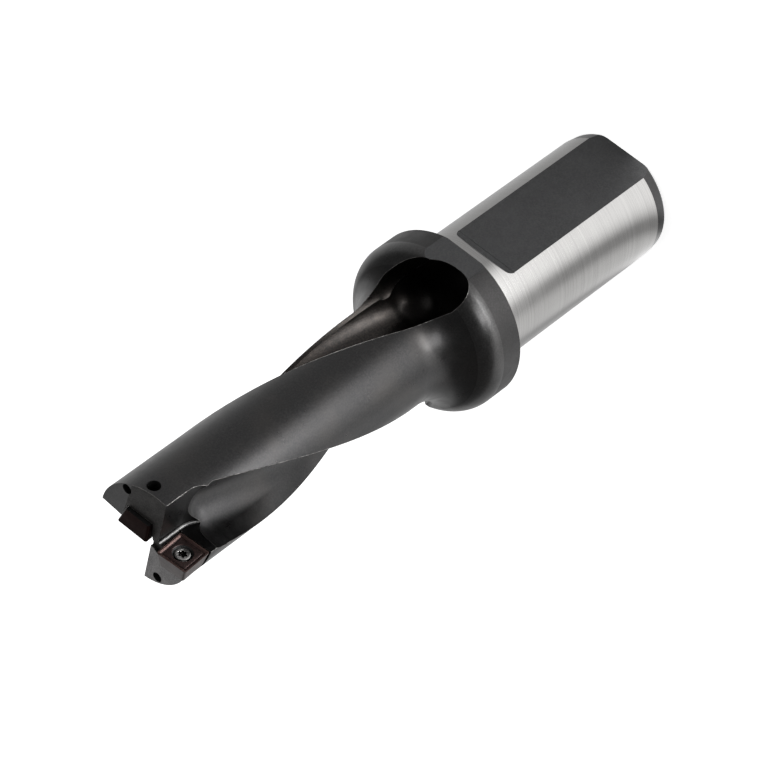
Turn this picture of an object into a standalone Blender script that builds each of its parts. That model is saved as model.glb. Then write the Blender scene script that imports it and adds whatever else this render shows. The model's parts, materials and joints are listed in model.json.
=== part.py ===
"""An indexable drill for metal: one steel body with two screwed-in square cutting inserts.

The drill stands on the end of its shank. The origin is the centre of the shank's end face,
+Z runs along the drill to its tip, and the clamping flat of the shank faces -Y. All lengths
are metres and all angles are degrees. An azimuth is measured about +Z from +X.
"""

import math

import bmesh
import bpy
import numpy as np
from mathutils import Matrix, Vector

# Clearance kept between pieces that touch
CLEARANCE = 0.0003

# Shank and its two clamping flats
SHANK_DIAMETER = 0.032
SHANK_LENGTH = 0.060
SHANK_END_CHAMFER = 0.0010
SHANK_TAPER_LENGTH = 0.0026
SHANK_TAPER_DEPTH = 0.00046
FLAT_AZIMUTH = -90.0
SHANK_FLAT_DISTANCE = 0.0137
SHANK_FLAT_LENGTH = 0.0527
SHANK_FLAT_CORNER = 0.0013
FLANGE_FLAT_DISTANCE = 0.0201

# Flange, its domed front and the fillet into the fluted body
FLANGE_DIAMETER = 0.042
FLANGE_RIM_LENGTH = 0.006
FLANGE_EDGE = 0.0003
DOME_RADIUS = 0.0065
FLANGE_LENGTH = 0.022

# Fluted body
BODY_DIAMETER = 0.0247
BODY_LENGTH = 0.0763
HELIX_LEAD = 0.2402

# Helical flutes, each cut by a ball-nosed cutter in two passes that lean by different angles
FLUTE_START_BELOW_TIP = 0.0135
FLUTE_REACH = 0.030
FIRST_PASS_LEAN = 19.5
FIRST_PASS_END_ABOVE_FLANGE = 0.0156
SECOND_PASS_END_ABOVE_FLANGE = 0.0121
PERIPHERAL_FLUTE_AZIMUTH = -147.4
PERIPHERAL_FLUTE_DISTANCE = 0.01017
PERIPHERAL_FIRST_RADIUS = 0.00693
PERIPHERAL_SECOND_RADIUS = 0.0070
PERIPHERAL_SECOND_LEAN = 33.5
CENTRAL_FLUTE_AZIMUTH = 32.9
CENTRAL_FIRST_DISTANCE = 0.01064
CENTRAL_FIRST_RADIUS = 0.00721
CENTRAL_SECOND_DISTANCE = 0.00958
CENTRAL_SECOND_RADIUS = 0.00674
CENTRAL_SECOND_LEAN = 38.2

# Straight gullets in front of the inserts
GULLET_STRAIGHT_LENGTH = 0.0075
GULLET_END_RADIUS = 0.0070
GULLET_REACH = 0.016
PERIPHERAL_GULLET_AZIMUTH = -91.5
PERIPHERAL_GULLET_WALL = 0.00325
CENTRAL_GULLET_AZIMUTH = 88.4
CENTRAL_GULLET_WALL = -0.00211

# Relief of the two end faces behind the cutting edges
UPPER_CREASE_AZIMUTH = 174.6
UPPER_CREASE_OFFSET = -0.00646
UPPER_RELIEF_ANGLE = 5.15
LOWER_RELIEF_ANGLE = 1.0
LOWER_FACE_DROP = 0.00015
WEB_CREASE_AZIMUTH = -109.5
WEB_CREASE_OFFSET = -0.0009
WEB_CREASE_INSIDE_SEAT = 0.0025

# Square inserts with clearance all round, and their screws
INSERT_SIDE = 0.00794
INSERT_THICKNESS = 0.00397
INSERT_CORNER_RADIUS = 0.0005
INSERT_CLEARANCE_ANGLE = 11.0
INSERT_SINK_DIAMETER = 0.0044
INSERT_SINK_ANGLE = 30.0
RIM_LAND = 0.00012
GROOVE_WIDTH = 0.00105
GROOVE_DEPTH = 0.00024
PLATEAU_DROP = 0.00008
RAKE_ABOVE_FLOOR = 0.0001
PERIPHERAL_RAKE_AZIMUTH = -87.2
PERIPHERAL_RADIUS = 0.0085
PERIPHERAL_TILT = 3.3
PERIPHERAL_HEIGHT_BELOW_TIP = 0.0028
PERIPHERAL_RAKE_OFFSET = -0.0005
CENTRAL_RADIUS = 0.00265
CENTRAL_TILT = -4.0
CENTRAL_HEIGHT_BELOW_TIP = 0.0026
CENTRAL_RAKE_OFFSET = 0.0002
CENTRAL_RAKE_AZIMUTH = 86.0
CORNER_RELIEF_DIAMETER = 0.0009

SCREW_DIAMETER = 0.0025
SCREW_LENGTH = 0.0075
SCREW_HEAD_DROP = 0.00035
SCREW_HEAD_EDGE = 0.00015
SCREW_LOBES = 6
SCREW_LOBE_RADIUS = 0.00098
SCREW_LOBE_DEPTH = 0.00022
SCREW_RECESS_DEPTH = 0.0009

# Coolant supply
COOLANT_BORE_DIAMETER = 0.010
COOLANT_BORE_DEPTH = 0.060
COOLANT_BORE_CHAMFER = 0.001
CHANNEL_DIAMETER = 0.0024
CHANNEL_RADIUS = 0.0082
CHANNEL_INLET_RADIUS = 0.0030
CHANNEL_INLET_SINK = 0.003
CHANNEL_BEND_ABOVE_FLANGE = 0.014
CHANNEL_AZIMUTH_AT_TIP = -41.5
OUTLET_LENGTH = 0.012
UPPER_OUTLET_RADIUS = 0.0110
UPPER_OUTLET_AZIMUTH = -54.0
LOWER_OUTLET_RADIUS = 0.0109
LOWER_OUTLET_AZIMUTH = 118.1

# Fineness of the curved faces
TURNED_SEGMENTS = 96
BODY_RINGS = 12
ARC_STEPS = 7
FLUTE_ARC_STEPS = 16
FLUTE_WALL_STEPS = (0.08, 0.17, 0.3, 1.0)
FLUTE_ROW_PITCH = 0.0016
FLUTE_CAP_STEPS = 8
CHANNEL_SEGMENTS = 10
CHANNEL_ROWS = 14
HOLE_SEGMENTS = 24
OVERCUT = 0.002

# Sizes that follow from the ones above
SHANK_RADIUS = SHANK_DIAMETER / 2
FLANGE_RADIUS = FLANGE_DIAMETER / 2
BODY_RADIUS = BODY_DIAMETER / 2
FILLET_END = SHANK_LENGTH + FLANGE_LENGTH
TIP_HEIGHT = FILLET_END + BODY_LENGTH
TWIST = 360.0 / HELIX_LEAD
FLUTE_START = TIP_HEIGHT - FLUTE_START_BELOW_TIP
FIRST_PASS_END = SHANK_LENGTH + FIRST_PASS_END_ABOVE_FLANGE
SECOND_PASS_END = SHANK_LENGTH + SECOND_PASS_END_ABOVE_FLANGE


def polar(radius, azimuth, height=0.0):
    """A point at this distance from the axis, at this azimuth and height."""
    turn = math.radians(azimuth)
    return Vector((radius * math.cos(turn), radius * math.sin(turn), height))


def material(name, colour, roughness, metallic):
    """A plain metal finish."""
    finish = bpy.data.materials.new(name)
    finish.use_nodes = True
    shader = finish.node_tree.nodes["Principled BSDF"]
    shader.inputs["Base Color"].default_value = (*colour, 1.0)
    shader.inputs["Roughness"].default_value = roughness
    shader.inputs["Metallic"].default_value = metallic
    return finish


def object_from(name, points, faces):
    """A mesh object in the scene with these points and faces, without doubled points."""
    mesh = bpy.data.meshes.new(name)
    mesh.from_pydata([tuple(point) for point in points], [], faces)
    mesh.update()
    thing = bpy.data.objects.new(name, mesh)
    bpy.context.scene.collection.objects.link(thing)
    return thing


def triangulated(thing):
    """Splits bent faces, so that a cutter is the same solid everywhere."""
    shape = bmesh.new()
    shape.from_mesh(thing.data)
    bmesh.ops.triangulate(shape, faces=shape.faces)
    shape.to_mesh(thing.data)
    shape.free()
    return thing


def stacked(name, rows):
    """A closed solid through rows of points, each row one closed loop, with flat ends."""
    count = len(rows[0])
    points = [point for row in rows for point in row]
    faces = []
    for level in range(len(rows) - 1):
        low = level * count
        high = low + count
        for place in range(count):
            after = (place + 1) % count
            faces.append((low + place, low + after, high + after, high + place))
    faces.append(tuple(reversed(range(count))))
    faces.append(tuple(range(len(points) - count, len(points))))
    return triangulated(object_from(name, points, faces))


def circle(radius, height, segments):
    """A level loop of points round the local Z axis."""
    return [polar(radius, 360.0 * step / segments, height) for step in range(segments)]


def turned(name, profile, segments):
    """A turned solid from (radius, height) points that run up its outside."""
    return stacked(name, [circle(radius, height, segments) for radius, height in profile])


def arc(centre, radius, start, end, steps):
    """Points (x, y) on an arc about a centre, ends included."""
    turns = np.radians(np.linspace(start, end, steps + 1))
    return [(centre[0] + radius * math.cos(t), centre[1] + radius * math.sin(t)) for t in turns]


def flange_profile():
    """The convex dome and the concave fillet, tangent to each other, as (radius, height)."""
    dome_start = SHANK_LENGTH + FLANGE_RIM_LENGTH
    rise = FILLET_END - dome_start
    drop = FLANGE_RADIUS - BODY_RADIUS
    meeting = 2 * math.degrees(math.atan2(drop, rise))
    fillet = rise / math.sin(math.radians(meeting)) - DOME_RADIUS
    dome = arc((FLANGE_RADIUS - DOME_RADIUS, dome_start), DOME_RADIUS, 0, meeting, ARC_STEPS)
    hollow = arc((BODY_RADIUS + fillet, FILLET_END), fillet, 180 + meeting, 180, ARC_STEPS + 2)
    return dome + hollow[1:]


def blank_profile():
    """The outside of the turned blank from the shank's end to the tip, as (radius, height)."""
    end_radius = SHANK_RADIUS - SHANK_TAPER_DEPTH
    taper_top = SHANK_END_CHAMFER + SHANK_TAPER_LENGTH
    rings = np.linspace(FILLET_END, TIP_HEIGHT, BODY_RINGS + 1)[1:]
    return [
        (end_radius - SHANK_END_CHAMFER, 0.0),
        (end_radius, SHANK_END_CHAMFER),
        (SHANK_RADIUS, taper_top),
        (SHANK_RADIUS, SHANK_LENGTH),
        (FLANGE_RADIUS - FLANGE_EDGE, SHANK_LENGTH),
        (FLANGE_RADIUS, SHANK_LENGTH + FLANGE_EDGE),
        *flange_profile(),
        *[(BODY_RADIUS, ring) for ring in rings],
    ]


def cutter(thing):
    """Marks a shape as a tool that only cuts."""
    thing.hide_render = True
    thing.display_type = "WIRE"
    return thing


def cut(body, tool):
    """Takes the tool's shape out of the body."""
    cutter(tool)
    step = body.modifiers.new(tool.name, "BOOLEAN")
    step.operation = "DIFFERENCE"
    step.solver = "EXACT"
    step.object = tool


def flute_section(azimuth, height, distance, radius, lean):
    """One level loop of a flute pass: a half round of this radius, open along the lean."""
    centre = polar(distance, azimuth)
    outwards = azimuth - lean
    around = arc(centre, radius, outwards + 90, outwards + 270, FLUTE_ARC_STEPS)
    inner = [Vector((*spot, height)) for spot in around]
    going = [inner[0] + polar(FLUTE_REACH * share, outwards) for share in FLUTE_WALL_STEPS]
    coming = [inner[-1] + polar(FLUTE_REACH * share, outwards) for share in FLUTE_WALL_STEPS]
    return [*reversed(going), *inner, *coming]


def flute_cutter(name, azimuth_at_start, distance, radius, lean, end):
    """One pass of a flute: the helical path of the ball-nosed cutter, up to below the tip."""
    rows = []
    cap = np.radians(np.linspace(80, 0, FLUTE_CAP_STEPS + 1))
    azimuth_at_end = azimuth_at_start - TWIST * (FLUTE_START - end)
    for turn in cap[:-1]:
        height = end - radius * math.sin(turn)
        rows.append(flute_section(azimuth_at_end, height, distance, radius * math.cos(turn), lean))
    count = math.ceil((FLUTE_START - end) / FLUTE_ROW_PITCH)
    for height in np.linspace(end, FLUTE_START, count + 1):
        azimuth = azimuth_at_start - TWIST * (FLUTE_START - height)
        rows.append(flute_section(azimuth, height, distance, radius, lean))
    for turn in reversed(cap[:-1]):
        height = FLUTE_START + radius * math.sin(turn)
        rows.append(flute_section(azimuth_at_start, height, distance, radius * math.cos(turn), lean))
    return stacked(name, rows)


def flute_cutters():
    """Both passes of both flutes. The first pass of a flute widens its run-out on the flange."""
    peripheral = (PERIPHERAL_FLUTE_AZIMUTH, PERIPHERAL_FLUTE_DISTANCE)
    central_first = (CENTRAL_FLUTE_AZIMUTH, CENTRAL_FIRST_DISTANCE, CENTRAL_FIRST_RADIUS)
    central_second = (CENTRAL_FLUTE_AZIMUTH, CENTRAL_SECOND_DISTANCE, CENTRAL_SECOND_RADIUS)
    passes = [
        (*peripheral, PERIPHERAL_FIRST_RADIUS, FIRST_PASS_LEAN, FIRST_PASS_END),
        (*peripheral, PERIPHERAL_SECOND_RADIUS, PERIPHERAL_SECOND_LEAN, SECOND_PASS_END),
        (*central_first, FIRST_PASS_LEAN, FIRST_PASS_END),
        (*central_second, CENTRAL_SECOND_LEAN, SECOND_PASS_END),
    ]
    return [flute_cutter(f"flute_cutter_{number}", *sizes) for number, sizes in enumerate(passes)]


def gullet_cutter(name, azimuth, wall, rake_azimuth, floor):
    """A straight gullet open to the tip, whose wall runs out of the body on an arc.

    The gullet lies ahead of the insert along the azimuth. Its wall is at this distance from
    the axis, a quarter turn back from that, and its floor is parallel to the insert's rake.
    """
    forward = polar(1.0, azimuth)
    outward = polar(1.0, azimuth - 90)
    facing = polar(1.0, rake_azimuth)
    bend = TIP_HEIGHT - GULLET_STRAIGHT_LENGTH
    rows = []
    for turn in np.radians(np.linspace(80, 0, ARC_STEPS + 1)):
        height = bend - GULLET_END_RADIUS * math.sin(turn)
        rows.append((height, wall + GULLET_END_RADIUS * (1 - math.cos(turn))))
    rows.append((TIP_HEIGHT + OVERCUT, wall))
    loops = []
    for height, start in rows:
        near = (floor - start * outward.dot(facing)) / forward.dot(facing)
        far = (floor - GULLET_REACH * outward.dot(facing)) / forward.dot(facing)
        shape = [(start, GULLET_REACH), (start, near), (GULLET_REACH, far), (GULLET_REACH,) * 2]
        loops.append([outward * out + forward * on + Vector((0, 0, height)) for out, on in shape])
    return stacked(name, loops)


def insert_frame(rake_azimuth, radius, height, rake_offset, tilt):
    """Where an insert sits: local Z leaves the rake face, Y points to the tip, X inwards."""
    facing = polar(1.0, rake_azimuth)
    inward = Vector((0, 0, 1)).cross(facing)
    place = facing * rake_offset - inward * radius + Vector((0, 0, height))
    turn = Matrix((inward, Vector((0, 0, 1)), facing)).transposed().to_4x4()
    return Matrix.Translation(place) @ turn @ Matrix.Rotation(math.radians(tilt), 4, "Z")


def peripheral_frame():
    """The seat of the outer insert."""
    height = TIP_HEIGHT - PERIPHERAL_HEIGHT_BELOW_TIP
    return insert_frame(
        PERIPHERAL_RAKE_AZIMUTH, PERIPHERAL_RADIUS, height, PERIPHERAL_RAKE_OFFSET, PERIPHERAL_TILT
    )


def central_frame():
    """The seat of the inner insert."""
    height = TIP_HEIGHT - CENTRAL_HEIGHT_BELOW_TIP
    return insert_frame(
        CENTRAL_RAKE_AZIMUTH, CENTRAL_RADIUS, height, CENTRAL_RAKE_OFFSET, CENTRAL_TILT
    )


def pocket_cutter(name, frame, outer_reach, top):
    """The insert's pocket: tapered side walls a clearance off the insert, open to the tip."""
    slope = math.tan(math.radians(INSERT_CLEARANCE_ANGLE))
    seat = -INSERT_THICKNESS - CLEARANCE
    loops = []
    for level in (seat, top):
        half = INSERT_SIDE / 2 + CLEARANCE + slope * level
        outer = outer_reach if outer_reach else half
        low, high = -half, INSERT_SIDE
        loops.append([(-outer, low, level), (half, low, level), (half, high, level), (-outer, high, level)])
    tool = stacked(name, loops)
    tool.matrix_world = frame
    return tool


def post(name, frame, radius, low, high, across=0.0, along=0.0):
    """A round cutter that stands on an insert's frame, off its middle by across and along."""
    tool = turned(name, [(radius, low), (radius, high)], HOLE_SEGMENTS)
    tool.matrix_world = frame @ Matrix.Translation((across, along, 0))
    return tool


def channel_cutter(name, azimuth_at_tip, outlet_radius, outlet_azimuth):
    """A coolant channel: from the shank's bore, round with the land, and out at the end face."""
    bend = SHANK_LENGTH + CHANNEL_BEND_ABOVE_FLANGE
    inlet = COOLANT_BORE_DEPTH - CHANNEL_INLET_SINK
    junction = TIP_HEIGHT - OUTLET_LENGTH

    def land(height):
        return azimuth_at_tip - TWIST * (TIP_HEIGHT - height)

    route = [polar(CHANNEL_INLET_RADIUS, land(bend), inlet)]
    route += [polar(CHANNEL_RADIUS, land(h), h) for h in np.linspace(bend, junction, CHANNEL_ROWS)]
    outlet = polar(outlet_radius, outlet_azimuth, TIP_HEIGHT)
    route.append(outlet + (outlet - route[-1]).normalized() * OVERCUT)
    rows = []
    for place, point in enumerate(route):
        before = route[max(place - 1, 0)]
        after = route[min(place + 1, len(route) - 1)]
        ahead = (after - before).normalized()
        side = ahead.cross(Vector((0, 0, 1)).cross(point)).normalized()
        other = ahead.cross(side)
        loop = circle(CHANNEL_DIAMETER / 2, 0.0, CHANNEL_SEGMENTS)
        rows.append([point + side * spot.x + other * spot.y for spot in loop])
    return stacked(name, rows)


def meet(azimuth, offset, other_azimuth, other_offset):
    """Where two upright planes cross, each given by its normal's azimuth and its offset."""
    normals = Matrix((polar(1.0, azimuth).xy, polar(1.0, other_azimuth).xy))
    return (normals.inverted() @ Vector((offset, other_offset))).to_3d()


def relief_cutter(name, footprint, azimuth, offset, height, slope):
    """Takes the end face down inside a footprint, to a plane that falls along the azimuth.

    The plane is at this height where the distance along the azimuth is the offset.
    """
    fall = polar(1.0, azimuth)
    base = []
    crown = []
    for spot in footprint:
        drop = math.tan(math.radians(slope)) * (spot.dot(fall) - offset)
        base.append(Vector((spot.x, spot.y, height - drop)))
        crown.append(Vector((spot.x, spot.y, TIP_HEIGHT + OVERCUT)))
    return stacked(name, [base, crown])


def relief_cutters():
    """The two sloping end faces, which meet on a crease across the web between the gullets."""
    reach = 2 * BODY_DIAMETER
    outer = polar(reach, PERIPHERAL_RAKE_AZIMUTH - 90)
    crest = meet(UPPER_CREASE_AZIMUTH, UPPER_CREASE_OFFSET, WEB_CREASE_AZIMUTH, WEB_CREASE_OFFSET)
    pocket_side = PERIPHERAL_RADIUS - WEB_CREASE_INSIDE_SEAT
    beside = meet(WEB_CREASE_AZIMUTH, WEB_CREASE_OFFSET, PERIPHERAL_RAKE_AZIMUTH - 90, pocket_side)
    upper = [crest, beside, beside + outer, crest + polar(reach, UPPER_CREASE_AZIMUTH + 90)]
    behind = polar(reach, CENTRAL_GULLET_AZIMUTH)
    inner = meet(
        WEB_CREASE_AZIMUTH, WEB_CREASE_OFFSET, CENTRAL_GULLET_AZIMUTH - 90, CENTRAL_GULLET_WALL / 2
    )
    lower = [beside, inner, inner + behind, beside + outer + behind, beside + outer]
    return [
        relief_cutter(
            "upper_relief_cutter",
            upper,
            UPPER_CREASE_AZIMUTH,
            UPPER_CREASE_OFFSET,
            TIP_HEIGHT,
            UPPER_RELIEF_ANGLE,
        ),
        relief_cutter(
            "lower_relief_cutter",
            lower,
            PERIPHERAL_RAKE_AZIMUTH + 180,
            -PERIPHERAL_RAKE_OFFSET,
            TIP_HEIGHT - LOWER_FACE_DROP,
            LOWER_RELIEF_ANGLE,
        ),
    ]


def flat_cutter(name, distance, low, high, corner):
    """A clamping flat: its plane at this distance from the axis, rounded at its upper end."""
    half = math.sqrt(SHANK_RADIUS**2 - distance**2) if corner else FLANGE_RADIUS
    outline = [(-half, low), (half, low)]
    outline += arc((half - corner, high - corner), corner, 0, 90, ARC_STEPS - 3)
    outline += arc((corner - half, high - corner), corner, 90, 180, ARC_STEPS - 3)
    outward = polar(1.0, FLAT_AZIMUTH)
    across = polar(1.0, FLAT_AZIMUTH + 90)
    loops = []
    for depth in (distance, FLANGE_RADIUS + OVERCUT):
        spots = [across * side + Vector((0, 0, height)) for side, height in outline]
        loops.append([spot + outward * depth for spot in spots])
    return stacked(name, loops)


def square_loop(half, height):
    """A level loop round a square with rounded corners."""
    radius = INSERT_CORNER_RADIUS * half / (INSERT_SIDE / 2)
    loop = []
    for quarter in range(4):
        turn = quarter * 90
        middle = polar((half - radius) * math.sqrt(2), 45 + turn)
        loop += [Vector((x, y, height)) for x, y in arc(middle, radius, turn, 90 + turn, ARC_STEPS - 2)]
    return loop


def make_insert(name, frame, finish):
    """A square insert: tapered sides, a rim, a chip groove inside it, and a countersunk hole."""
    half = INSERT_SIDE / 2
    slope = math.tan(math.radians(INSERT_CLEARANCE_ANGLE))
    hole = SCREW_DIAMETER / 2 + CLEARANCE
    sink = INSERT_SINK_DIAMETER / 2
    sink_floor = -PLATEAU_DROP - (sink - hole) / math.tan(math.radians(INSERT_SINK_ANGLE))
    count = len(square_loop(half, 0.0))

    def ring(radius, height):
        return [polar(radius, 360.0 * (step + 0.5) / count, height) for step in range(count)]

    rows = [
        square_loop(half - slope * INSERT_THICKNESS, -INSERT_THICKNESS),
        square_loop(half, 0.0),
        square_loop(half - RIM_LAND, 0.0),
        square_loop(half - RIM_LAND - GROOVE_WIDTH * 0.55, -GROOVE_DEPTH),
        square_loop(half - RIM_LAND - GROOVE_WIDTH, -PLATEAU_DROP),
        ring(sink, -PLATEAU_DROP),
        ring(hole, sink_floor),
        ring(hole, -INSERT_THICKNESS),
    ]
    points = [point for row in rows for point in row]
    faces = []
    for level in range(len(rows)):
        low = level * count
        high = (level + 1) % len(rows) * count
        for place in range(count):
            after = (place + 1) % count
            faces.append((low + place, low + after, high + after, high + place))
    return finished(object_from(name, points, faces), frame, finish)


def make_screw(name, frame, finish):
    """A countersunk screw with a six-lobed recess, sunk in the insert's hole."""
    slope = math.tan(math.radians(INSERT_SINK_ANGLE))
    top = -PLATEAU_DROP - SCREW_HEAD_DROP
    gap = CLEARANCE / math.cos(math.radians(INSERT_SINK_ANGLE))
    head = INSERT_SINK_DIAMETER / 2 - slope * (SCREW_HEAD_DROP + SCREW_HEAD_EDGE) - gap
    neck = SCREW_DIAMETER / 2
    seat = top - SCREW_HEAD_EDGE - (head - neck) / slope
    segments = SCREW_LOBES * 6

    def lobed(shrink, height):
        loop = []
        for step in range(segments):
            turn = 360.0 * step / segments
            wave = (1 - math.cos(math.radians(turn * SCREW_LOBES))) / 2
            loop.append(polar(SCREW_LOBE_RADIUS - SCREW_LOBE_DEPTH * wave - shrink, turn, height))
        return loop

    rows = [
        circle(neck - SCREW_HEAD_EDGE, top - SCREW_LENGTH, segments),
        circle(neck, top - SCREW_LENGTH + SCREW_HEAD_EDGE, segments),
        circle(neck, seat, segments),
        circle(head, top - SCREW_HEAD_EDGE, segments),
        circle(head - SCREW_HEAD_EDGE / 2, top, segments),
        lobed(0.0, top),
        lobed(SCREW_LOBE_DEPTH / 4, top - SCREW_RECESS_DEPTH),
    ]
    return finished(stacked(name, rows), frame, finish)


def finished(thing, frame, finish):
    """Moves the shape into its place, gives it its finish and smooths its round faces."""
    thing.data.transform(frame)
    thing.data.materials.append(finish)
    thing.data.polygons.foreach_set("use_smooth", [True] * len(thing.data.polygons))
    thing.data.set_sharp_from_angle(angle=math.radians(30))
    return thing


def make_body(finish):
    """The one-piece steel body: a turned blank with everything milled and drilled out of it."""
    body = turned("drill_body", blank_profile(), TURNED_SEGMENTS)
    outer_seat = peripheral_frame()
    inner_seat = central_frame()
    seat = -INSERT_THICKNESS - CLEARANCE
    hole = SCREW_DIAMETER / 2 + CLEARANCE
    corner = INSERT_SIDE / 2 + CLEARANCE
    through = -BODY_DIAMETER

    flat_low = SHANK_LENGTH - OVERCUT
    cut(body, flat_cutter("shank_flat", SHANK_FLAT_DISTANCE, -OVERCUT, SHANK_FLAT_LENGTH, SHANK_FLAT_CORNER))
    cut(body, flat_cutter("flange_flat", FLANGE_FLAT_DISTANCE, flat_low, FILLET_END, 0.0))
    for tool in flute_cutters():
        cut(body, tool)
    cut(
        body,
        gullet_cutter(
            "peripheral_gullet_cutter",
            PERIPHERAL_GULLET_AZIMUTH,
            PERIPHERAL_GULLET_WALL,
            PERIPHERAL_RAKE_AZIMUTH,
            PERIPHERAL_RAKE_OFFSET - RAKE_ABOVE_FLOOR,
        ),
    )
    cut(
        body,
        gullet_cutter(
            "central_gullet_cutter",
            CENTRAL_GULLET_AZIMUTH,
            CENTRAL_GULLET_WALL,
            CENTRAL_RAKE_AZIMUTH,
            CENTRAL_RAKE_OFFSET - RAKE_ABOVE_FLOOR,
        ),
    )
    for tool in relief_cutters():
        cut(body, tool)
    cut(body, pocket_cutter("peripheral_pocket_cutter", outer_seat, INSERT_SIDE, OVERCUT))
    cut(body, pocket_cutter("central_pocket_cutter", inner_seat, 0.0, OVERCUT))
    relief = CORNER_RELIEF_DIAMETER / 2
    cut(body, post("peripheral_corner_cutter", outer_seat, relief, seat, OVERCUT, corner, -corner))
    cut(body, post("central_corner_cutter", inner_seat, relief, seat, OVERCUT, -corner, -corner))
    cut(body, post("peripheral_screw_cutter", outer_seat, hole, through, seat + OVERCUT))
    cut(body, post("central_screw_cutter", inner_seat, hole, through, seat + OVERCUT))
    bore = COOLANT_BORE_DIAMETER / 2
    rise = COOLANT_BORE_CHAMFER + OVERCUT
    bore_profile = [(bore + rise, -OVERCUT), (bore, COOLANT_BORE_CHAMFER), (bore, COOLANT_BORE_DEPTH)]
    cut(body, turned("coolant_bore_cutter", bore_profile, HOLE_SEGMENTS))
    upper = CHANNEL_AZIMUTH_AT_TIP
    cut(body, channel_cutter("upper_channel", upper, UPPER_OUTLET_RADIUS, UPPER_OUTLET_AZIMUTH))
    cut(body, channel_cutter("lower_channel", upper + 180, LOWER_OUTLET_RADIUS, LOWER_OUTLET_AZIMUTH))
    return finished(body, Matrix.Identity(4), finish)


def clear_scene():
    """Empties the new file."""
    for thing in list(bpy.data.objects):
        bpy.data.objects.remove(thing, do_unlink=True)


def main():
    """Builds the drill."""
    clear_scene()
    make_body(material("blackened_tool_steel", (0.045, 0.043, 0.043), 0.42, 0.8))
    carbide = (0.060, 0.032, 0.028)
    make_insert("peripheral_insert", peripheral_frame(), material("coated_carbide_outer", carbide, 0.4, 0.3))
    make_insert("central_insert", central_frame(), material("coated_carbide_inner", carbide, 0.4, 0.3))
    steel = (0.42, 0.41, 0.40)
    make_screw("peripheral_insert_screw", peripheral_frame(), material("screw_steel_outer", steel, 0.35, 1.0))
    make_screw("central_insert_screw", central_frame(), material("screw_steel_inner", steel, 0.35, 1.0))


main()
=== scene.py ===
"""The drill as it looks: blackened steel with a ground shank, and dark coated inserts.

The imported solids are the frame. The steel body, the two inserts and their screws are built
again here at a finer pitch, in the same places, and each stands for its own solid. All
lengths are metres. Azimuths are degrees about +Z, counted from +X.
"""

import json
import logging
import math
from dataclasses import dataclass, field
from enum import Enum
from typing import Callable

import bpy
import numpy as np
from mathutils import Matrix, Vector

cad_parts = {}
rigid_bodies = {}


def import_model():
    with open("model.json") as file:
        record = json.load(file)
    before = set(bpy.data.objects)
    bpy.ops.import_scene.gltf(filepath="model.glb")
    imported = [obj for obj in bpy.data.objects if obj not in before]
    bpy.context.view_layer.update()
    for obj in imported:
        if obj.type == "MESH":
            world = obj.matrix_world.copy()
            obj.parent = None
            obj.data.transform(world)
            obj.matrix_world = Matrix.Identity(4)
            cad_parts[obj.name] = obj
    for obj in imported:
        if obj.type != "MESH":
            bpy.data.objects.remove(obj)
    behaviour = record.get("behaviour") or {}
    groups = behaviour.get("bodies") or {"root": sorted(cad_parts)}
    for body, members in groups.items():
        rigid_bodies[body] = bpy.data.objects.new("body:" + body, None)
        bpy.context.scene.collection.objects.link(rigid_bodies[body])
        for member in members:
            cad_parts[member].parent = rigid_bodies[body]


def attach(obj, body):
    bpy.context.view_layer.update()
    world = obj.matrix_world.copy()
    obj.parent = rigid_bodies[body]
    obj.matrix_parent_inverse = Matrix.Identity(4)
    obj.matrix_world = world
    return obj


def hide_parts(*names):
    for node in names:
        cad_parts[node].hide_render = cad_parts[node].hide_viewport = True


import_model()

Array = np.ndarray
Object = bpy.types.Object
Socket = bpy.types.NodeSocket
Colour = tuple[float, float, float]
Point = tuple[float, float, float]
Pair = tuple[float, float]
LOG = logging.getLogger("drill")
MARK = "mark_"


class Surface(Enum):
    """Which tool made a face of the steel body."""

    TURNED = "turned"
    FLAT = "flat"
    OUTER_FIRST = "outer_first_pass"
    OUTER_SECOND = "outer_second_pass"
    INNER_FIRST = "inner_first_pass"
    INNER_SECOND = "inner_second_pass"
    OUTER_GULLET = "outer_gullet"
    INNER_GULLET = "inner_gullet"
    END_RELIEF = "end_relief"
    POCKET = "pocket"
    SCREW_HOLE = "screw_hole"
    COOLANT = "coolant"


@dataclass(frozen=True)
class Clearance:
    """Gaps and overcuts shared by the cutters."""

    gap: float = 0.0003
    over: float = 0.002


HELIX_LEAD = 0.2402
TWIST = 360.0 / HELIX_LEAD


def unit(azimuth: float) -> Array:
    """The level unit vector at an azimuth.

    Args:
        azimuth: degrees about +Z from +X.

    Returns:
        (cos, sin, 0).
    """
    turn = math.radians(azimuth)
    return np.array([math.cos(turn), math.sin(turn), 0.0])


def arc(centre: Pair, radius: float, start: float, end: float, steps: int) -> Array:
    """Points on an arc: centre plus radius times (cos t, sin t), with t in even steps.

    Args:
        centre: the arc's centre in its own plane.
        radius: the arc's radius.
        start: first angle in degrees.
        end: last angle in degrees.
        steps: number of steps between them.

    Returns:
        An array of steps + 1 rows of two.
    """
    t = np.radians(np.linspace(start, end, steps + 1))
    return np.stack([centre[0] + radius * np.cos(t), centre[1] + radius * np.sin(t)], axis=1)


def lift(plan: Array, height: float | Array) -> Array:
    """Plan points with a height added as their third number."""
    return np.concatenate([plan, np.broadcast_to(np.reshape(height, (-1, 1)), (len(plan), 1))], axis=1)


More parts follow.
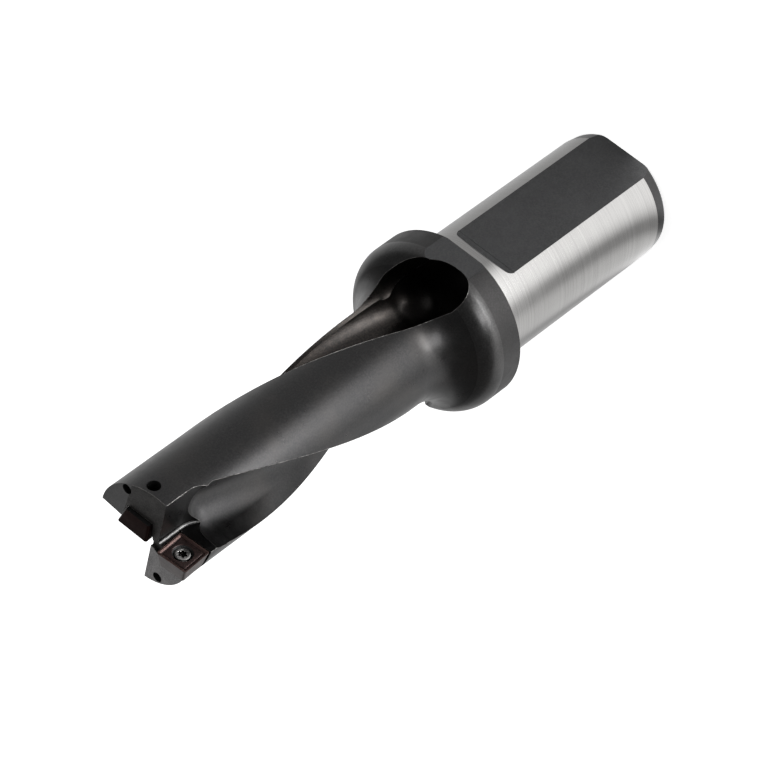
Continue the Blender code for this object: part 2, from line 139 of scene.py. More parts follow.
def ring_faces(rows: int, columns: int, closed_rows: bool = False) -> Array:
    """Quads of a grid whose columns close on themselves.

    Corner (i, j) joins (i, j+1), (i+1, j+1) and (i+1, j), with j counted round the ring.

    Args:
        rows: number of rings.
        columns: points in each ring.
        closed_rows: whether the last ring joins the first.

    Returns:
        An array of four indices a row.
    """
    last = rows if closed_rows else rows - 1
    i, j = np.meshgrid(np.arange(last), np.arange(columns), indexing="ij")
    up = (i + 1) % rows
    on = (j + 1) % columns
    quads = np.stack([i * columns + j, i * columns + on, up * columns + on, up * columns + j], axis=-1)
    return quads.reshape(-1, 4)


def mesh_object(name: str, points: Array, faces: list[list[int]]) -> Object:
    """A linked object at the origin.

    Args:
        name: the object's name.
        points: an array whose last axis is x, y and z.
        faces: each face's point numbers, counted through the array.

    Returns:
        The new object.
    """
    mesh = bpy.data.meshes.new(name)
    mesh.from_pydata(points.reshape(-1, 3), [], faces)
    mesh.update()
    thing = bpy.data.objects.new(name, mesh)
    bpy.context.scene.collection.objects.link(thing)
    return thing


def ring_solid(name: str, rings: Array, capped: bool = True) -> Object:
    """A closed solid through rings of points, with a flat cap at each end.

    Args:
        name: the object's name.
        rings: an array of rings by points by three.
        capped: True for end caps, False where the last ring joins the first.

    Returns:
        The new object.
    """
    rows, columns = rings.shape[:2]
    faces = ring_faces(rows, columns, closed_rows=not capped).tolist()
    if capped:
        faces.append(list(range(columns - 1, -1, -1)))
        faces.append(list(range((rows - 1) * columns, rows * columns)))
    return mesh_object(name, rings, faces)


def revolve(profile: Array, segments: int) -> Array:
    """Rings of a turned shape: x = radius times cos t, y = radius times sin t.

    Args:
        profile: rows of (radius, height).
        segments: points round each ring, with t in even steps.

    Returns:
        An array of rings by points by three.
    """
    t = np.linspace(0.0, 2 * math.pi, segments, endpoint=False)
    radius = profile[:, 0:1]
    x = radius * np.cos(t)
    y = radius * np.sin(t)
    z = np.broadcast_to(profile[:, 1:2], x.shape)
    return np.stack([x, y, z], axis=-1)


def placed(points: Array, seat: Matrix) -> Array:
    """Points carried from a seat's own frame to the part's."""
    place = np.array(seat)
    return points @ place[:3, :3].T + place[:3, 3]


def smooth_all(thing: Object, angle: float) -> None:
    """Smooth shading, with the sharper edges left sharp.

    Args:
        thing: the object to shade.
        angle: the angle in degrees between two faces from which their edge stays sharp.
    """
    mesh = thing.data
    mesh.polygons.foreach_set("use_smooth", np.ones(len(mesh.polygons), dtype=bool))
    mesh.set_sharp_from_angle(angle=math.radians(angle))


def read(items: bpy.types.bpy_prop_collection, key: str, kind: type, width: int = 1) -> Array:
    """Reads one property of every item of a mesh's list.

    Args:
        items: the mesh's vertices, edges, loops or polygons.
        key: the property's name.
        kind: the array's number type.
        width: how many numbers the property has.

    Returns:
        An array of one number an item, or of one row an item.
    """
    values = np.zeros(len(items) * width, dtype=kind)
    items.foreach_get(key, values)
    return values.reshape(-1, width) if width > 1 else values


def marks_of(mesh: bpy.types.Mesh) -> Array:
    """The name of the tool that made each face, from the carved body's material slots."""
    names = np.array([slot.name.removeprefix(MARK) for slot in mesh.materials])
    return names[read(mesh.polygons, "material_index", np.int32)]


def finish_faces(thing: Object, finishes: tuple["Finish", ...], index: Array) -> None:
    """Gives an object its materials.

    Args:
        thing: the object.
        finishes: one finish for each material slot.
        index: each face's slot.
    """
    thing.data.materials.clear()
    for finish in finishes:
        thing.data.materials.append(finish.make())
    thing.data.polygons.foreach_set("material_index", index)


class NodePen:
    """Writes a material's nodes with short calls."""

    def __init__(self, name: str) -> None:
        """Starts a material with a Principled shader on its output.

        Args:
            name: the material's name.
        """
        self.material = bpy.data.materials.new(name)
        self.material.use_nodes = True
        self.tree = self.material.node_tree
        self.shader = self.tree.nodes["Principled BSDF"]
        self.coordinates = self.tree.nodes.new("ShaderNodeTexCoord").outputs["Object"]

    def link(self, source: Socket, target: Socket) -> None:
        """Joins two sockets."""
        self.tree.links.new(source, target)

    def stretched(self, scale: Point) -> Socket:
        """Object coordinates times a scale on each axis.

        Args:
            scale: the three factors.

        Returns:
            The stretched coordinates.
        """
        node = self.tree.nodes.new("ShaderNodeMapping")
        node.inputs["Scale"].default_value = scale
        self.link(self.coordinates, node.inputs["Vector"])
        return node.outputs["Vector"]

    def noise(self, scale: float, detail: float, vector: Socket | None = None) -> Socket:
        """A noise pattern.

        Args:
            scale: how fine the pattern is.
            detail: how many finer layers it has.
            vector: the coordinates, or None for the object's own.

        Returns:
            The pattern's factor.
        """
        node = self.tree.nodes.new("ShaderNodeTexNoise")
        node.inputs["Scale"].default_value = scale
        node.inputs["Detail"].default_value = detail
        self.link(vector or self.coordinates, node.inputs["Vector"])
        return node.outputs["Fac"]

    def ramp(self, factor: Socket, stops: list[tuple[float, Colour]]) -> Socket:
        """A colour ramp.

        Args:
            factor: the factor that it reads.
            stops: each stop's place and colour.

        Returns:
            The colour.
        """
        node = self.tree.nodes.new("ShaderNodeValToRGB")
        while len(node.color_ramp.elements) < len(stops):
            node.color_ramp.elements.new(0.5)
        for element, (place, colour) in zip(node.color_ramp.elements, stops):
            element.position = place
            element.color = (*colour, 1.0)
        self.link(factor, node.inputs["Fac"])
        return node.outputs["Color"]

    def span(self, factor: Socket, low: float, high: float) -> Socket:
        """Carries the middle of a noise pattern's range, 0.3 to 0.7, to another range.

        Args:
            factor: the noise pattern.
            low: the value at the low end.
            high: the value at the high end.

        Returns:
            The carried value.
        """
        node = self.tree.nodes.new("ShaderNodeMapRange")
        node.inputs["From Min"].default_value = 0.3
        node.inputs["From Max"].default_value = 0.7
        node.inputs["To Min"].default_value = low
        node.inputs["To Max"].default_value = high
        self.link(factor, node.inputs["Value"])
        return node.outputs["Result"]

    def height_share(self, low: float, high: float) -> Socket:
        """A smooth step by height.

        Args:
            low: the height up to which it is 0.
            high: the height from which it is 1.

        Returns:
            The share.
        """
        split = self.tree.nodes.new("ShaderNodeSeparateXYZ")
        self.link(self.coordinates, split.inputs[0])
        node = self.tree.nodes.new("ShaderNodeMapRange")
        node.interpolation_type = "SMOOTHSTEP"
        node.inputs["From Min"].default_value = low
        node.inputs["From Max"].default_value = high
        self.link(split.outputs["Z"], node.inputs["Value"])
        return node.outputs["Result"]

    def mix(self, factor: Socket, a: Socket, b: Socket) -> Socket:
        """Mixes two colours.

        Args:
            factor: the second colour's share.
            a: the first colour.
            b: the second colour.

        Returns:
            The mixed colour.
        """
        node = self.tree.nodes.new("ShaderNodeMix")
        node.data_type = "RGBA"
        self.link(factor, node.inputs["Factor"])
        self.link(a, node.inputs["A"])
        self.link(b, node.inputs["B"])
        return node.outputs["Result"]

    def bump(self, height: Socket, distance: float, strength: float) -> None:
        """A fine relief.

        Args:
            height: the pattern whose light parts stand up.
            distance: how deep the relief is.
            strength: how much of it shows.
        """
        node = self.tree.nodes.new("ShaderNodeBump")
        node.inputs["Distance"].default_value = distance
        node.inputs["Strength"].default_value = strength
        self.link(height, node.inputs["Height"])
        self.link(node.outputs["Normal"], self.shader.inputs["Normal"])


@dataclass(frozen=True)
class SpeckledSteel:
    """Steel with a chemical finish: two close tones in fine speckles and broad clouds.

    With painted shade heights, shade is painted into the colour: the steel is in painted shadow below the
    first height and clear of it above the second.
    """

    name: str
    dark: Colour
    light: Colour
    cloud: Colour
    roughness: Pair
    metallic: float
    grain: float = 2600.0
    grain_depth: float = 0.000004
    painted_shade_heights: Pair | None = None
    shadow: tuple[Colour, Colour] = ((0.002, 0.002, 0.002), (0.004, 0.004, 0.004))

    def make(self) -> bpy.types.Material:
        """Builds the material.

        Returns:
            The new material.
        """
        pen = NodePen(self.name)
        fine = pen.noise(self.grain, 3.0)
        broad = pen.noise(85.0, 2.0)
        speckle = pen.ramp(fine, [(0.38, self.dark), (0.66, self.light)])
        tint = pen.ramp(broad, [(0.40, self.dark), (0.68, self.cloud)])
        blend = pen.span(broad, 0.15, 0.5)
        colour = pen.mix(blend, speckle, tint)
        if self.painted_shade_heights:
            # painted shade: the colour falls to near black below the given heights
            shadow = pen.ramp(fine, [(0.4, self.shadow[0]), (0.6, self.shadow[1])])
            colour = pen.mix(pen.height_share(*self.painted_shade_heights), shadow, colour)
        pen.link(colour, pen.shader.inputs["Base Color"])
        pen.link(pen.span(pen.noise(420.0, 4.0), *self.roughness), pen.shader.inputs["Roughness"])
        pen.shader.inputs["Metallic"].default_value = self.metallic
        pen.bump(fine, self.grain_depth, 0.35)
        return pen.material


@dataclass(frozen=True)
class GroundSteel:
    """Bright steel ground round its axis, with fine lines across the axis."""

    name: str
    dark: Colour
    light: Colour
    roughness: Pair

    def make(self) -> bpy.types.Material:
        """Builds the material.

        Returns:
            The new material.
        """
        pen = NodePen(self.name)
        lines = pen.noise(1.0, 5.0, pen.stretched((20.0, 20.0, 5200.0)))
        bands = pen.noise(1.0, 2.0, pen.stretched((30.0, 30.0, 1400.0)))
        pen.link(pen.ramp(lines, [(0.30, self.dark), (0.70, self.light)]), pen.shader.inputs["Base Color"])
        pen.link(pen.span(bands, *self.roughness), pen.shader.inputs["Roughness"])
        pen.shader.inputs["Metallic"].default_value = 1.0
        pen.shader.inputs["Anisotropic"].default_value = 0.75
        axis = pen.tree.nodes.new("ShaderNodeCombineXYZ")
        axis.inputs["Z"].default_value = 1.0
        pen.link(axis.outputs["Vector"], pen.shader.inputs["Tangent"])
        pen.bump(lines, 0.000006, 0.3)
        return pen.material


@dataclass(frozen=True)
class CoatedCarbide:
    """Pressed and coated carbide: a satin brown that is a little redder in patches."""

    name: str
    dark: Colour
    light: Colour
    roughness: Pair
    metallic: float

    def make(self) -> bpy.types.Material:
        """Builds the material.

        Returns:
            The new material.
        """
        pen = NodePen(self.name)
        grain = pen.noise(5200.0, 3.0)
        patch = pen.noise(700.0, 3.0)
        pen.link(pen.ramp(patch, [(0.32, self.dark), (0.70, self.light)]), pen.shader.inputs["Base Color"])
        pen.link(pen.span(grain, *self.roughness), pen.shader.inputs["Roughness"])
        pen.shader.inputs["Metallic"].default_value = self.metallic
        pen.bump(grain, 0.000003, 0.3)
        return pen.material


BLACK = SpeckledSteel(
    "black_oxide", (0.022, 0.022, 0.0225), (0.033, 0.032, 0.032), (0.036, 0.034, 0.0325),
    roughness=(0.27, 0.36), metallic=0.97,
)
# Flute steel with a brownish tone; below 63 to 77 mm its colour is painted near black, painted shade in the
# flute's run-out.
WARM = SpeckledSteel(
    "black_oxide_flute", (0.017, 0.016, 0.0155), (0.033, 0.029, 0.0265), (0.036, 0.030, 0.026),
    roughness=(0.27, 0.38), metallic=0.97, painted_shade_heights=(0.063, 0.077),
)
# The flange's front: the body's black oxide painted lighter, a painted highlight on the dome.
DOME_HIGHLIGHT = SpeckledSteel(
    "black_oxide_dome", (0.030, 0.030, 0.0302), (0.048, 0.047, 0.047), (0.050, 0.048, 0.047),
    roughness=(0.28, 0.35), metallic=0.97,
)
RIM = SpeckledSteel(
    "black_oxide_rim", (0.022, 0.0215, 0.0215), (0.032, 0.031, 0.031), (0.030, 0.029, 0.029),
    roughness=(0.42, 0.52), metallic=0.9,
)
UPPER_FACE = SpeckledSteel(
    "black_oxide_upper_face", (0.024, 0.023, 0.0225), (0.050, 0.047, 0.045), (0.042, 0.040, 0.038),
    roughness=(0.48, 0.6), metallic=0.8,
)
# The flatter end face: the same black oxide as the upper face painted several times lighter, painted light
# where this face catches the lamps.
LOWER_FACE_LIT = SpeckledSteel(
    "black_oxide_lower_face", (0.13, 0.126, 0.126), (0.225, 0.22, 0.22), (0.185, 0.181, 0.181),
    roughness=(0.46, 0.58), metallic=0.85,
)
FLAT_STEEL = SpeckledSteel(
    "black_oxide_flat", (0.033, 0.033, 0.034), (0.049, 0.049, 0.050), (0.046, 0.046, 0.047),
    roughness=(0.5, 0.62), metallic=0.7,
)
# The gullets' shoulders: polished steel whose colour is painted lighter than the black oxide, a painted
# highlight band.
SHOULDER_HIGHLIGHT = SpeckledSteel(
    "worn_shoulder", (0.029, 0.029, 0.029), (0.062, 0.061, 0.060), (0.046, 0.045, 0.045),
    roughness=(0.2, 0.3), metallic=1.0, grain=1800.0, grain_depth=0.000002,
)
# Near-black colour for the coolant bores, screw holes and the inserts' holes: painted shade in the holes.
DARK = SpeckledSteel(
    "bored_steel", (0.006, 0.006, 0.006), (0.012, 0.0115, 0.0115), (0.010, 0.0095, 0.0095),
    roughness=(0.5, 0.7), metallic=0.6,
)
# Gullet floors: the body's black oxide painted about three times darker, painted shade in the gullet.
GULLET_FLOOR_SHADE = SpeckledSteel(
    "black_oxide_gullet", (0.007, 0.007, 0.007), (0.012, 0.0115, 0.0115), (0.010, 0.0095, 0.0095),
    roughness=(0.27, 0.36), metallic=0.97,
)
GROUND = GroundSteel(
    "ground_steel", (0.228, 0.225, 0.221), (0.284, 0.280, 0.275),
    roughness=(0.15, 0.20),
)
EDGE = SpeckledSteel(
    "worn_edge", (0.05, 0.048, 0.046), (0.17, 0.166, 0.162), (0.11, 0.107, 0.104),
    roughness=(0.3, 0.45), metallic=1.0, grain=900.0, grain_depth=0.000002,
)
CARBIDE = CoatedCarbide(
    "coated_carbide", (0.034, 0.018, 0.0155), (0.058, 0.035, 0.031),
    roughness=(0.30, 0.44), metallic=0.75,
)
CARBIDE_FLOOR = CoatedCarbide(
    "coated_carbide_floor", (0.014, 0.0075, 0.007), (0.026, 0.014, 0.0125),
    roughness=(0.34, 0.48), metallic=0.75,
)
CARBIDE_FLANK = CoatedCarbide(
    "coated_carbide_flank", (0.023, 0.0155, 0.0145), (0.039, 0.028, 0.026),
    roughness=(0.34, 0.46), metallic=0.6,
)
# The central insert's flank: the same coating painted darker, painted shade on that insert.
CARBIDE_FLANK_SHADED = CoatedCarbide(
    "coated_carbide_flank_dark", (0.011, 0.004, 0.0035), (0.019, 0.009, 0.008),
    roughness=(0.38, 0.5), metallic=0.92,
)
SCREW_STEEL = SpeckledSteel(
    "screw_steel", (0.20, 0.195, 0.19), (0.27, 0.265, 0.26), (0.25, 0.245, 0.24),
    roughness=(0.2, 0.3), metallic=1.0, grain=700.0, grain_depth=0.0000005,
)
# The screws' six-lobed recess: the screw steel painted near black, painted shade in the recess.
RECESS_SHADE = SpeckledSteel(
    "screw_recess", (0.010, 0.0095, 0.0095), (0.026, 0.025, 0.024), (0.018, 0.0175, 0.017),
    roughness=(0.3, 0.42), metallic=1.0, grain=700.0, grain_depth=0.0000005,
)
Finish = SpeckledSteel | GroundSteel | CoatedCarbide


@dataclass
class Seat:
    """Where a square insert sits: local Z leaves its rake face, Y points to the tip."""

    rake_azimuth: float
    radius: float
    height: float
    rake_offset: float
    tilt: float

    def matrix(self) -> Matrix:
        """The seat's frame in the part's own frame.

        Returns:
            The frame as a matrix of four by four.
        """
        facing = Vector(unit(self.rake_azimuth))
        inward = Vector((0, 0, 1)).cross(facing)
        place = facing * self.rake_offset - inward * self.radius + Vector((0, 0, self.height))
        turn = Matrix((inward, Vector((0, 0, 1)), facing)).transposed().to_4x4()
        return Matrix.Translation(place) @ turn @ Matrix.Rotation(math.radians(self.tilt), 4, "Z")


OUTER_SEAT = Seat(-87.2, 0.0085, 0.1555, -0.0005, 3.3)
INNER_SEAT = Seat(86.0, 0.00265, 0.1557, 0.0002, -4.0)


@dataclass
class FlutePass:
    """One pass of a helical flute: a ball-nosed cutter that leans, carried along a helix."""

    surface: Surface
    azimuth: float
    centre: float
    radius: float
    lean: float
    end: float
    start: float = 0.1448
    reach: float = 0.026
    path_steps: int = 91
    cap_steps: int = 14

    def section(self, azimuth: Array, height: Array, radius: Array, arc_steps: int = 28) -> Array:
        """Level loops of the cutter.

        Each loop is half a circle round the cutter's centre, on the side away from the lean,
        with two straight walls that run out along the lean.

        Args:
            azimuth: one azimuth for each loop.
            height: one height for each loop.
            radius: the ball's radius at each loop.
            arc_steps: steps round the half circle.

        Returns:
            An array of loops by points by three.
        """
        walls = np.array([0.04, 0.09, 0.15, 0.22, 0.32, 0.46, 0.66, 1.0]) * self.reach
        turn = np.radians(azimuth)[:, None]
        out = turn - math.radians(self.lean)
        swing = np.radians(np.linspace(90.0, 270.0, arc_steps + 1))[None, :]
        ax = self.centre * np.cos(turn) + radius[:, None] * np.cos(out + swing)
        ay = self.centre * np.sin(turn) + radius[:, None] * np.sin(out + swing)
        going, coming = walls[None, ::-1], walls[None, :]
        x = np.concatenate([ax[:, :1] + going * np.cos(out), ax, ax[:, -1:] + coming * np.cos(out)], axis=1)
        y = np.concatenate([ay[:, :1] + going * np.sin(out), ay, ay[:, -1:] + coming * np.sin(out)], axis=1)
        z = np.broadcast_to(height[:, None], x.shape)
        return np.stack([x, y, z], axis=-1)

    def solid(self) -> Object:
        """The pass as a closed solid, rounded at both ends of its path.

        Past each end of the path the ball's radius shrinks with the cosine of an angle while
        the height goes on with its sine.

        Returns:
            The cutter.
        """
        cap = np.radians(np.linspace(84.0, 0.0, self.cap_steps + 1))[:-1]
        path = np.linspace(self.end, self.start, self.path_steps + 1)
        low = self.end - self.radius * np.sin(cap)
        high = (self.start + self.radius * np.sin(cap))[::-1]
        size = self.radius * np.cos(cap)
        height = np.concatenate([low, path, high])
        radius = np.concatenate([size, np.full(len(path), self.radius), size[::-1]])
        azimuth = self.azimuth - TWIST * (self.start - np.clip(height, self.end, self.start))
        return ring_solid(self.surface.value, self.section(azimuth, height, radius))

    def distance(self, points: Array) -> Array:
        """How far points are from the cutter's axis, less the ball's radius.

        On the open side the level distance is the distance to the leaning axis, and on the
        other side to the ball's centre. Past the path's ends the height beyond them is the
        other side of a right angle.

        Args:
            points: an array of n by three.

        Returns:
            n distances.
        """
        along = np.clip(points[:, 2], self.end, self.start)
        turn = np.radians(self.azimuth - TWIST * (self.start - along))
        x = points[:, 0] * np.cos(turn) + points[:, 1] * np.sin(turn) - self.centre
        y = points[:, 1] * np.cos(turn) - points[:, 0] * np.sin(turn)
        lead = math.radians(-self.lean)
        u = x * math.cos(lead) + y * math.sin(lead)
        v = y * math.cos(lead) - x * math.sin(lead)
        level = np.where(u > 0, np.abs(v), np.hypot(u, v))
        return np.hypot(level, points[:, 2] - along) - self.radius


@dataclass
class Gullet:
    """The straight gullet ahead of an insert, whose wall runs out of the body on an arc."""

    surface: Surface
    azimuth: float
    wall: float
    rake_azimuth: float
    floor: float
    tip: float = 0.1583
    straight: float = 0.0075
    bend: float = 0.0070
    reach: float = 0.016
    corner: float = 0.0008

    def wall_at(self, height: Array) -> Array:
        """The wall's distance from the axis: level above the bend, then an arc outwards."""
        drop = np.clip((self.tip - self.straight - height) / self.bend, 0.0, 0.9999)
        return self.wall + self.bend * (1 - np.sqrt(1 - drop**2))

    def frame(self) -> tuple[Array, Array, Array]:
        """The forward, outward and rake directions."""
        return unit(self.azimuth), unit(self.azimuth - 90.0), unit(self.rake_azimuth)

    def solid(self) -> Object:
        """The cutter as a closed solid, with a small radius where the wall meets the floor.

        Returns:
            The cutter.
        """
        forward, outward, facing = self.frame()
        drop = np.sin(np.radians(np.linspace(82.0, 0.0, 25)))
        height = np.append(self.tip - self.straight - self.bend * drop, self.tip + Clearance.over)
        start = self.wall_at(height)
        near = (self.floor - start * (outward @ facing)) / (forward @ facing)
        far = (self.floor - self.reach * (outward @ facing)) / (forward @ facing)
        swing = np.radians(np.linspace(180.0, 270.0, 11))[None, :]
        out = start[:, None] + self.corner * (1 + np.cos(swing))
        on = near[:, None] + self.corner * (1 + np.sin(swing))
        full = np.full((len(height), 1), self.reach)
        across = np.concatenate([start[:, None], out, full, full], axis=1)
        ahead = np.concatenate([full, on, np.full((len(height), 1), far), full], axis=1)
        rings = across[..., None] * outward + ahead[..., None] * forward
        rings[..., 2] = height[:, None]
        return ring_solid(self.surface.value, rings)

    def distance(self, points: Array) -> Array:
        """How far outside the wall's sheet points are, along the outward direction."""
        return self.wall_at(points[:, 2]) - points @ self.frame()[1]


@dataclass
class SteelBody:
    """The one-piece body: turned from bar, then milled, drilled, blackened and ground.

    A pair of an azimuth and an offset is an upright plane that faces the azimuth at that
    distance from the axis.
    """

    shank_radius: float = 0.016
    shank_length: float = 0.060
    end_round: float = 0.0011
    taper_length: float = 0.0025
    taper_depth: float = 0.00036
    shank_flat: float = 0.0137
    shank_flat_length: float = 0.0520
    shank_flat_mark: float = 0.0507
    mark_half: float = 0.00012
    mark_depth: float = 0.00005
    shank_flat_corner: float = 0.0013
    flange_radius: float = 0.021
    flange_flat: float = 0.0201
    rim_length: float = 0.006
    rim_edge: float = 0.0003
    dome: float = 0.0065
    flange_length: float = 0.022
    body_radius: float = 0.01235
    tip: float = 0.1583
    upper_face: Pair = (174.6, -0.00646)
    upper_slope: float = 5.15
    face_step: Pair = (-109.5, -0.0009)
    lower_drop: float = 0.00015
    lower_slope: float = 1.0
    lower_pivot: float = 0.0005
    lower_edge: float = 0.0060
    web_side: Pair = (-1.6, -0.001055)
    relief_reach: float = 0.05
    outer_pocket_corner: float = 0.0003
    inner_pocket_corner: float = 0.00045
    screw_hole_radius: float = 0.00155
    screw_hole_depth: float = 0.0247
    bore_radius: float = 0.005
    bore_depth: float = 0.060
    bore_chamfer: float = 0.001
    channel_radius: float = 0.0012
    channel_path: float = 0.0082
    channel_inlet: float = 0.003
    channel_start: float = 0.014
    channel_turn_out: float = 0.012
    clearance: Clearance = field(default_factory=Clearance)

    def __post_init__(self) -> None:
        """Sets up the flutes and the gullets."""
        self.flutes = [
            FlutePass(Surface.OUTER_FIRST, -147.4, 0.01017, 0.00693, 19.5, 0.0756),
            FlutePass(Surface.OUTER_SECOND, -147.4, 0.01017, 0.0070, 33.5, 0.0721),
            FlutePass(Surface.INNER_FIRST, 35.24, 0.01218, 0.00699, 38.8, 0.0747),
            FlutePass(Surface.INNER_SECOND, 33.07, 0.00984, 0.00683, 39.6, 0.0722),
        ]
        below = 0.0001
        self.gullets = [
            Gullet(surface, azimuth, wall, seat.rake_azimuth, seat.rake_offset - below)
            for surface, azimuth, wall, seat in (
                (Surface.OUTER_GULLET, -91.5, 0.00325, OUTER_SEAT),
                (Surface.INNER_GULLET, 88.4, -0.00211, INNER_SEAT),
            )
        ]
        rise = self.flange_length - self.rim_length
        drop = self.flange_radius - self.body_radius
        self.meeting = 2 * math.degrees(math.atan2(drop, rise))
        self.fillet = rise / math.sin(math.radians(self.meeting)) - self.dome
        self.dome_start = self.shank_length + self.rim_length
        self.dome_end = self.dome_start + self.dome * math.sin(math.radians(self.meeting))
        self.fillet_end = self.shank_length + self.flange_length

    def profile(self) -> Array:
        """The blank's outside as (radius, height), up from the shank's end to the tip.

        The flange's front is a convex arc that meets a concave one at a tangent, and the
        concave one ends at a tangent to the fluted body.

        Returns:
            An array of rows of two.
        """
        end = self.shank_radius - self.taper_depth
        top = self.end_round + self.taper_length
        shank = np.linspace(top, self.shank_length, 14)
        lower = arc((end - self.end_round, self.end_round), self.end_round, -90, 0, 10)
        middle = np.stack([np.full(len(shank), self.shank_radius), shank], axis=1)
        edge = np.array([
            (self.flange_radius - self.rim_edge, self.shank_length),
            (self.flange_radius, self.shank_length + self.rim_edge),
        ])
        dome = arc((self.flange_radius - self.dome, self.dome_start), self.dome, 0, self.meeting, 22)
        centre = (self.body_radius + self.fillet, self.fillet_end)
        hollow = arc(centre, self.fillet, 180 + self.meeting, 180, 30)
        stem = np.linspace(self.fillet_end, self.tip, 60)[1:]
        upper = np.stack([np.full(len(stem), self.body_radius), stem], axis=1)
        return np.concatenate([lower, middle, edge, dome, hollow[1:], upper])

    def flat_tool(
        self, distance: float, low: float, high: float, reach: float, corner: float = 0.0
    ) -> Object:
        """A block that mills a flat on the -Y side.

        A cutter with rounded corners leaves an end wall that leans back at 45 degrees.

        Args:
            distance: the flat's distance from the axis.
            low: the height where the cut starts.
            high: the height where the flat's floor ends.
            reach: how far from the axis the block goes.
            corner: the corners' radius, or 0 for a cut right across.

        Returns:
            The cutter.
        """
        half = math.sqrt(self.shank_radius**2 - distance**2) if corner else self.flange_radius
        right = arc((half - corner, high - corner), corner, 0, 90, 10)
        left = arc((corner - half, high - corner), corner, 90, 180, 10)
        outline = np.concatenate([[(-half, low), (half, low)], right, left])
        rings = np.zeros((2, len(outline), 3))
        rings[:, :, 0] = outline[:, 0]
        rings[:, :, 2] = outline[:, 1]
        rings[:, :, 1] = np.array([[-distance], [-reach]])
        if corner:
            rings[1, 2:, 2] += reach - distance
        return ring_solid(Surface.FLAT.value, rings)

    @staticmethod
    def meet(first: Pair, second: Pair) -> Array:
        """The level point where two upright planes meet.

        Args:
            first: one plane's azimuth and offset.
            second: the other plane's.

        Returns:
            The point at height 0.
        """
        normals = np.stack([unit(first[0])[:2], unit(second[0])[:2]])
        return np.append(np.linalg.solve(normals, [first[1], second[1]]), 0.0)

    def relief_prism(self, corners: list[Array], plane: Pair, height: float, slope: float) -> Object:
        """A prism over a sloping end face.

        The face's height falls with the tangent of the slope times the distance past the plane.

        Args:
            corners: the prism's level corners in order.
            plane: the azimuth in which the face falls, and the offset where it starts.
            height: the face's height where it starts.
            slope: how steeply it falls, in degrees.

        Returns:
            The cutter.
        """
        base = np.array(corners)
        crown = base.copy()
        base[:, 2] = height - math.tan(math.radians(slope)) * (base @ unit(plane[0]) - plane[1])
        crown[:, 2] = self.tip + self.clearance.over
        return ring_solid(Surface.END_RELIEF.value, np.stack([base, crown]))

    def relief_tools(self) -> list[Object]:
        """The two prisms that slope the end faces, meeting on a crease across the web.

        Returns:
            The cutters.
        """
        lower_azimuth = OUTER_SEAT.rake_azimuth - 90
        outer = unit(lower_azimuth) * self.relief_reach
        crest = self.meet(self.upper_face, self.face_step)
        beside = self.meet(self.face_step, (lower_azimuth, self.lower_edge))
        behind = unit(self.gullets[1].azimuth) * self.relief_reach
        inner = self.meet(self.face_step, self.web_side)
        sideways = unit(self.upper_face[0] + 90.0) * self.relief_reach
        upper = [crest, beside, beside + outer, crest + sideways]
        lower = [beside, inner, inner + behind, beside + outer + behind, beside + outer]
        falls = (OUTER_SEAT.rake_azimuth + 180, self.lower_pivot)
        return [
            self.relief_prism(upper, self.upper_face, self.tip, self.upper_slope),
            self.relief_prism(lower, falls, self.tip - self.lower_drop, self.lower_slope),
        ]

    def pocket_tool(self, seat: Seat, open_outwards: bool) -> Object:
        """An insert's pocket: walls tapered like the insert, a gap off it, open to the tip.

        Args:
            seat: the insert's seat.
            open_outwards: whether the pocket is open to the outside of the body too.

        Returns:
            The cutter.
        """
        side = SquareInsert.side
        slope = math.tan(math.radians(SquareInsert.relief))
        rings = []
        for level in (-SquareInsert.thickness - self.clearance.gap, self.clearance.over):
            half = side / 2 + self.clearance.gap + slope * level
            outer = side if open_outwards else half
            plan = [(-outer, -half), (half, -half), (half, side), (-outer, side)]
            rings.append([(x, y, level) for x, y in plan])
        return ring_solid(Surface.POCKET.value, placed(np.array(rings), seat.matrix()))

    def post_tool(
        self, surface: Surface, seat: Seat, radius: float, ends: Pair, place: Pair = (0.0, 0.0)
    ) -> Object:
        """A round hole square to an insert's rake face."""
        rings = revolve(np.array([(radius, ends[0]), (radius, ends[1])]), 48) + np.array([*place, 0.0])
        return ring_solid(surface.value, placed(rings, seat.matrix()))

    def channel_tool(self, azimuth: float, outlet_radius: float, outlet_azimuth: float) -> Object:
        """A coolant channel: out of the shank's bore, round with the land, to the end face.

        The path keeps one distance from the axis while its azimuth follows the helix, and
        each ring is square to the path there.

        Args:
            azimuth: the helix's azimuth at the tip.
            outlet_radius: the outlet's distance from the axis.
            outlet_azimuth: the outlet's azimuth.

        Returns:
            The cutter.
        """
        height = np.linspace(self.shank_length + self.channel_start, self.tip - self.channel_turn_out, 40)
        turn = np.radians(azimuth - TWIST * (self.tip - height))
        radius = self.channel_path
        helix = np.stack([radius * np.cos(turn), radius * np.sin(turn), height], axis=1)
        near = self.channel_inlet
        inlet = np.array([[near * math.cos(turn[0]), near * math.sin(turn[0]), self.bore_depth - near]])
        outlet = unit(outlet_azimuth) * outlet_radius + np.array([0, 0, self.tip])
        last = outlet - helix[-1]
        path = np.concatenate([inlet, helix, [outlet + last / np.linalg.norm(last) * self.clearance.over]])
        ahead = np.gradient(path, axis=0)
        ahead /= np.linalg.norm(ahead, axis=1, keepdims=True)
        side = np.cross(ahead, np.cross([0, 0, 1.0], path))
        side /= np.linalg.norm(side, axis=1, keepdims=True)
        other = np.cross(ahead, side)
        t = np.linspace(0, 2 * math.pi, 28, endpoint=False)[None, :, None]
        round_path = np.cos(t) * side[:, None] + np.sin(t) * other[:, None]
        rings = path[:, None] + self.channel_radius * round_path
        return ring_solid(Surface.COOLANT.value, rings)

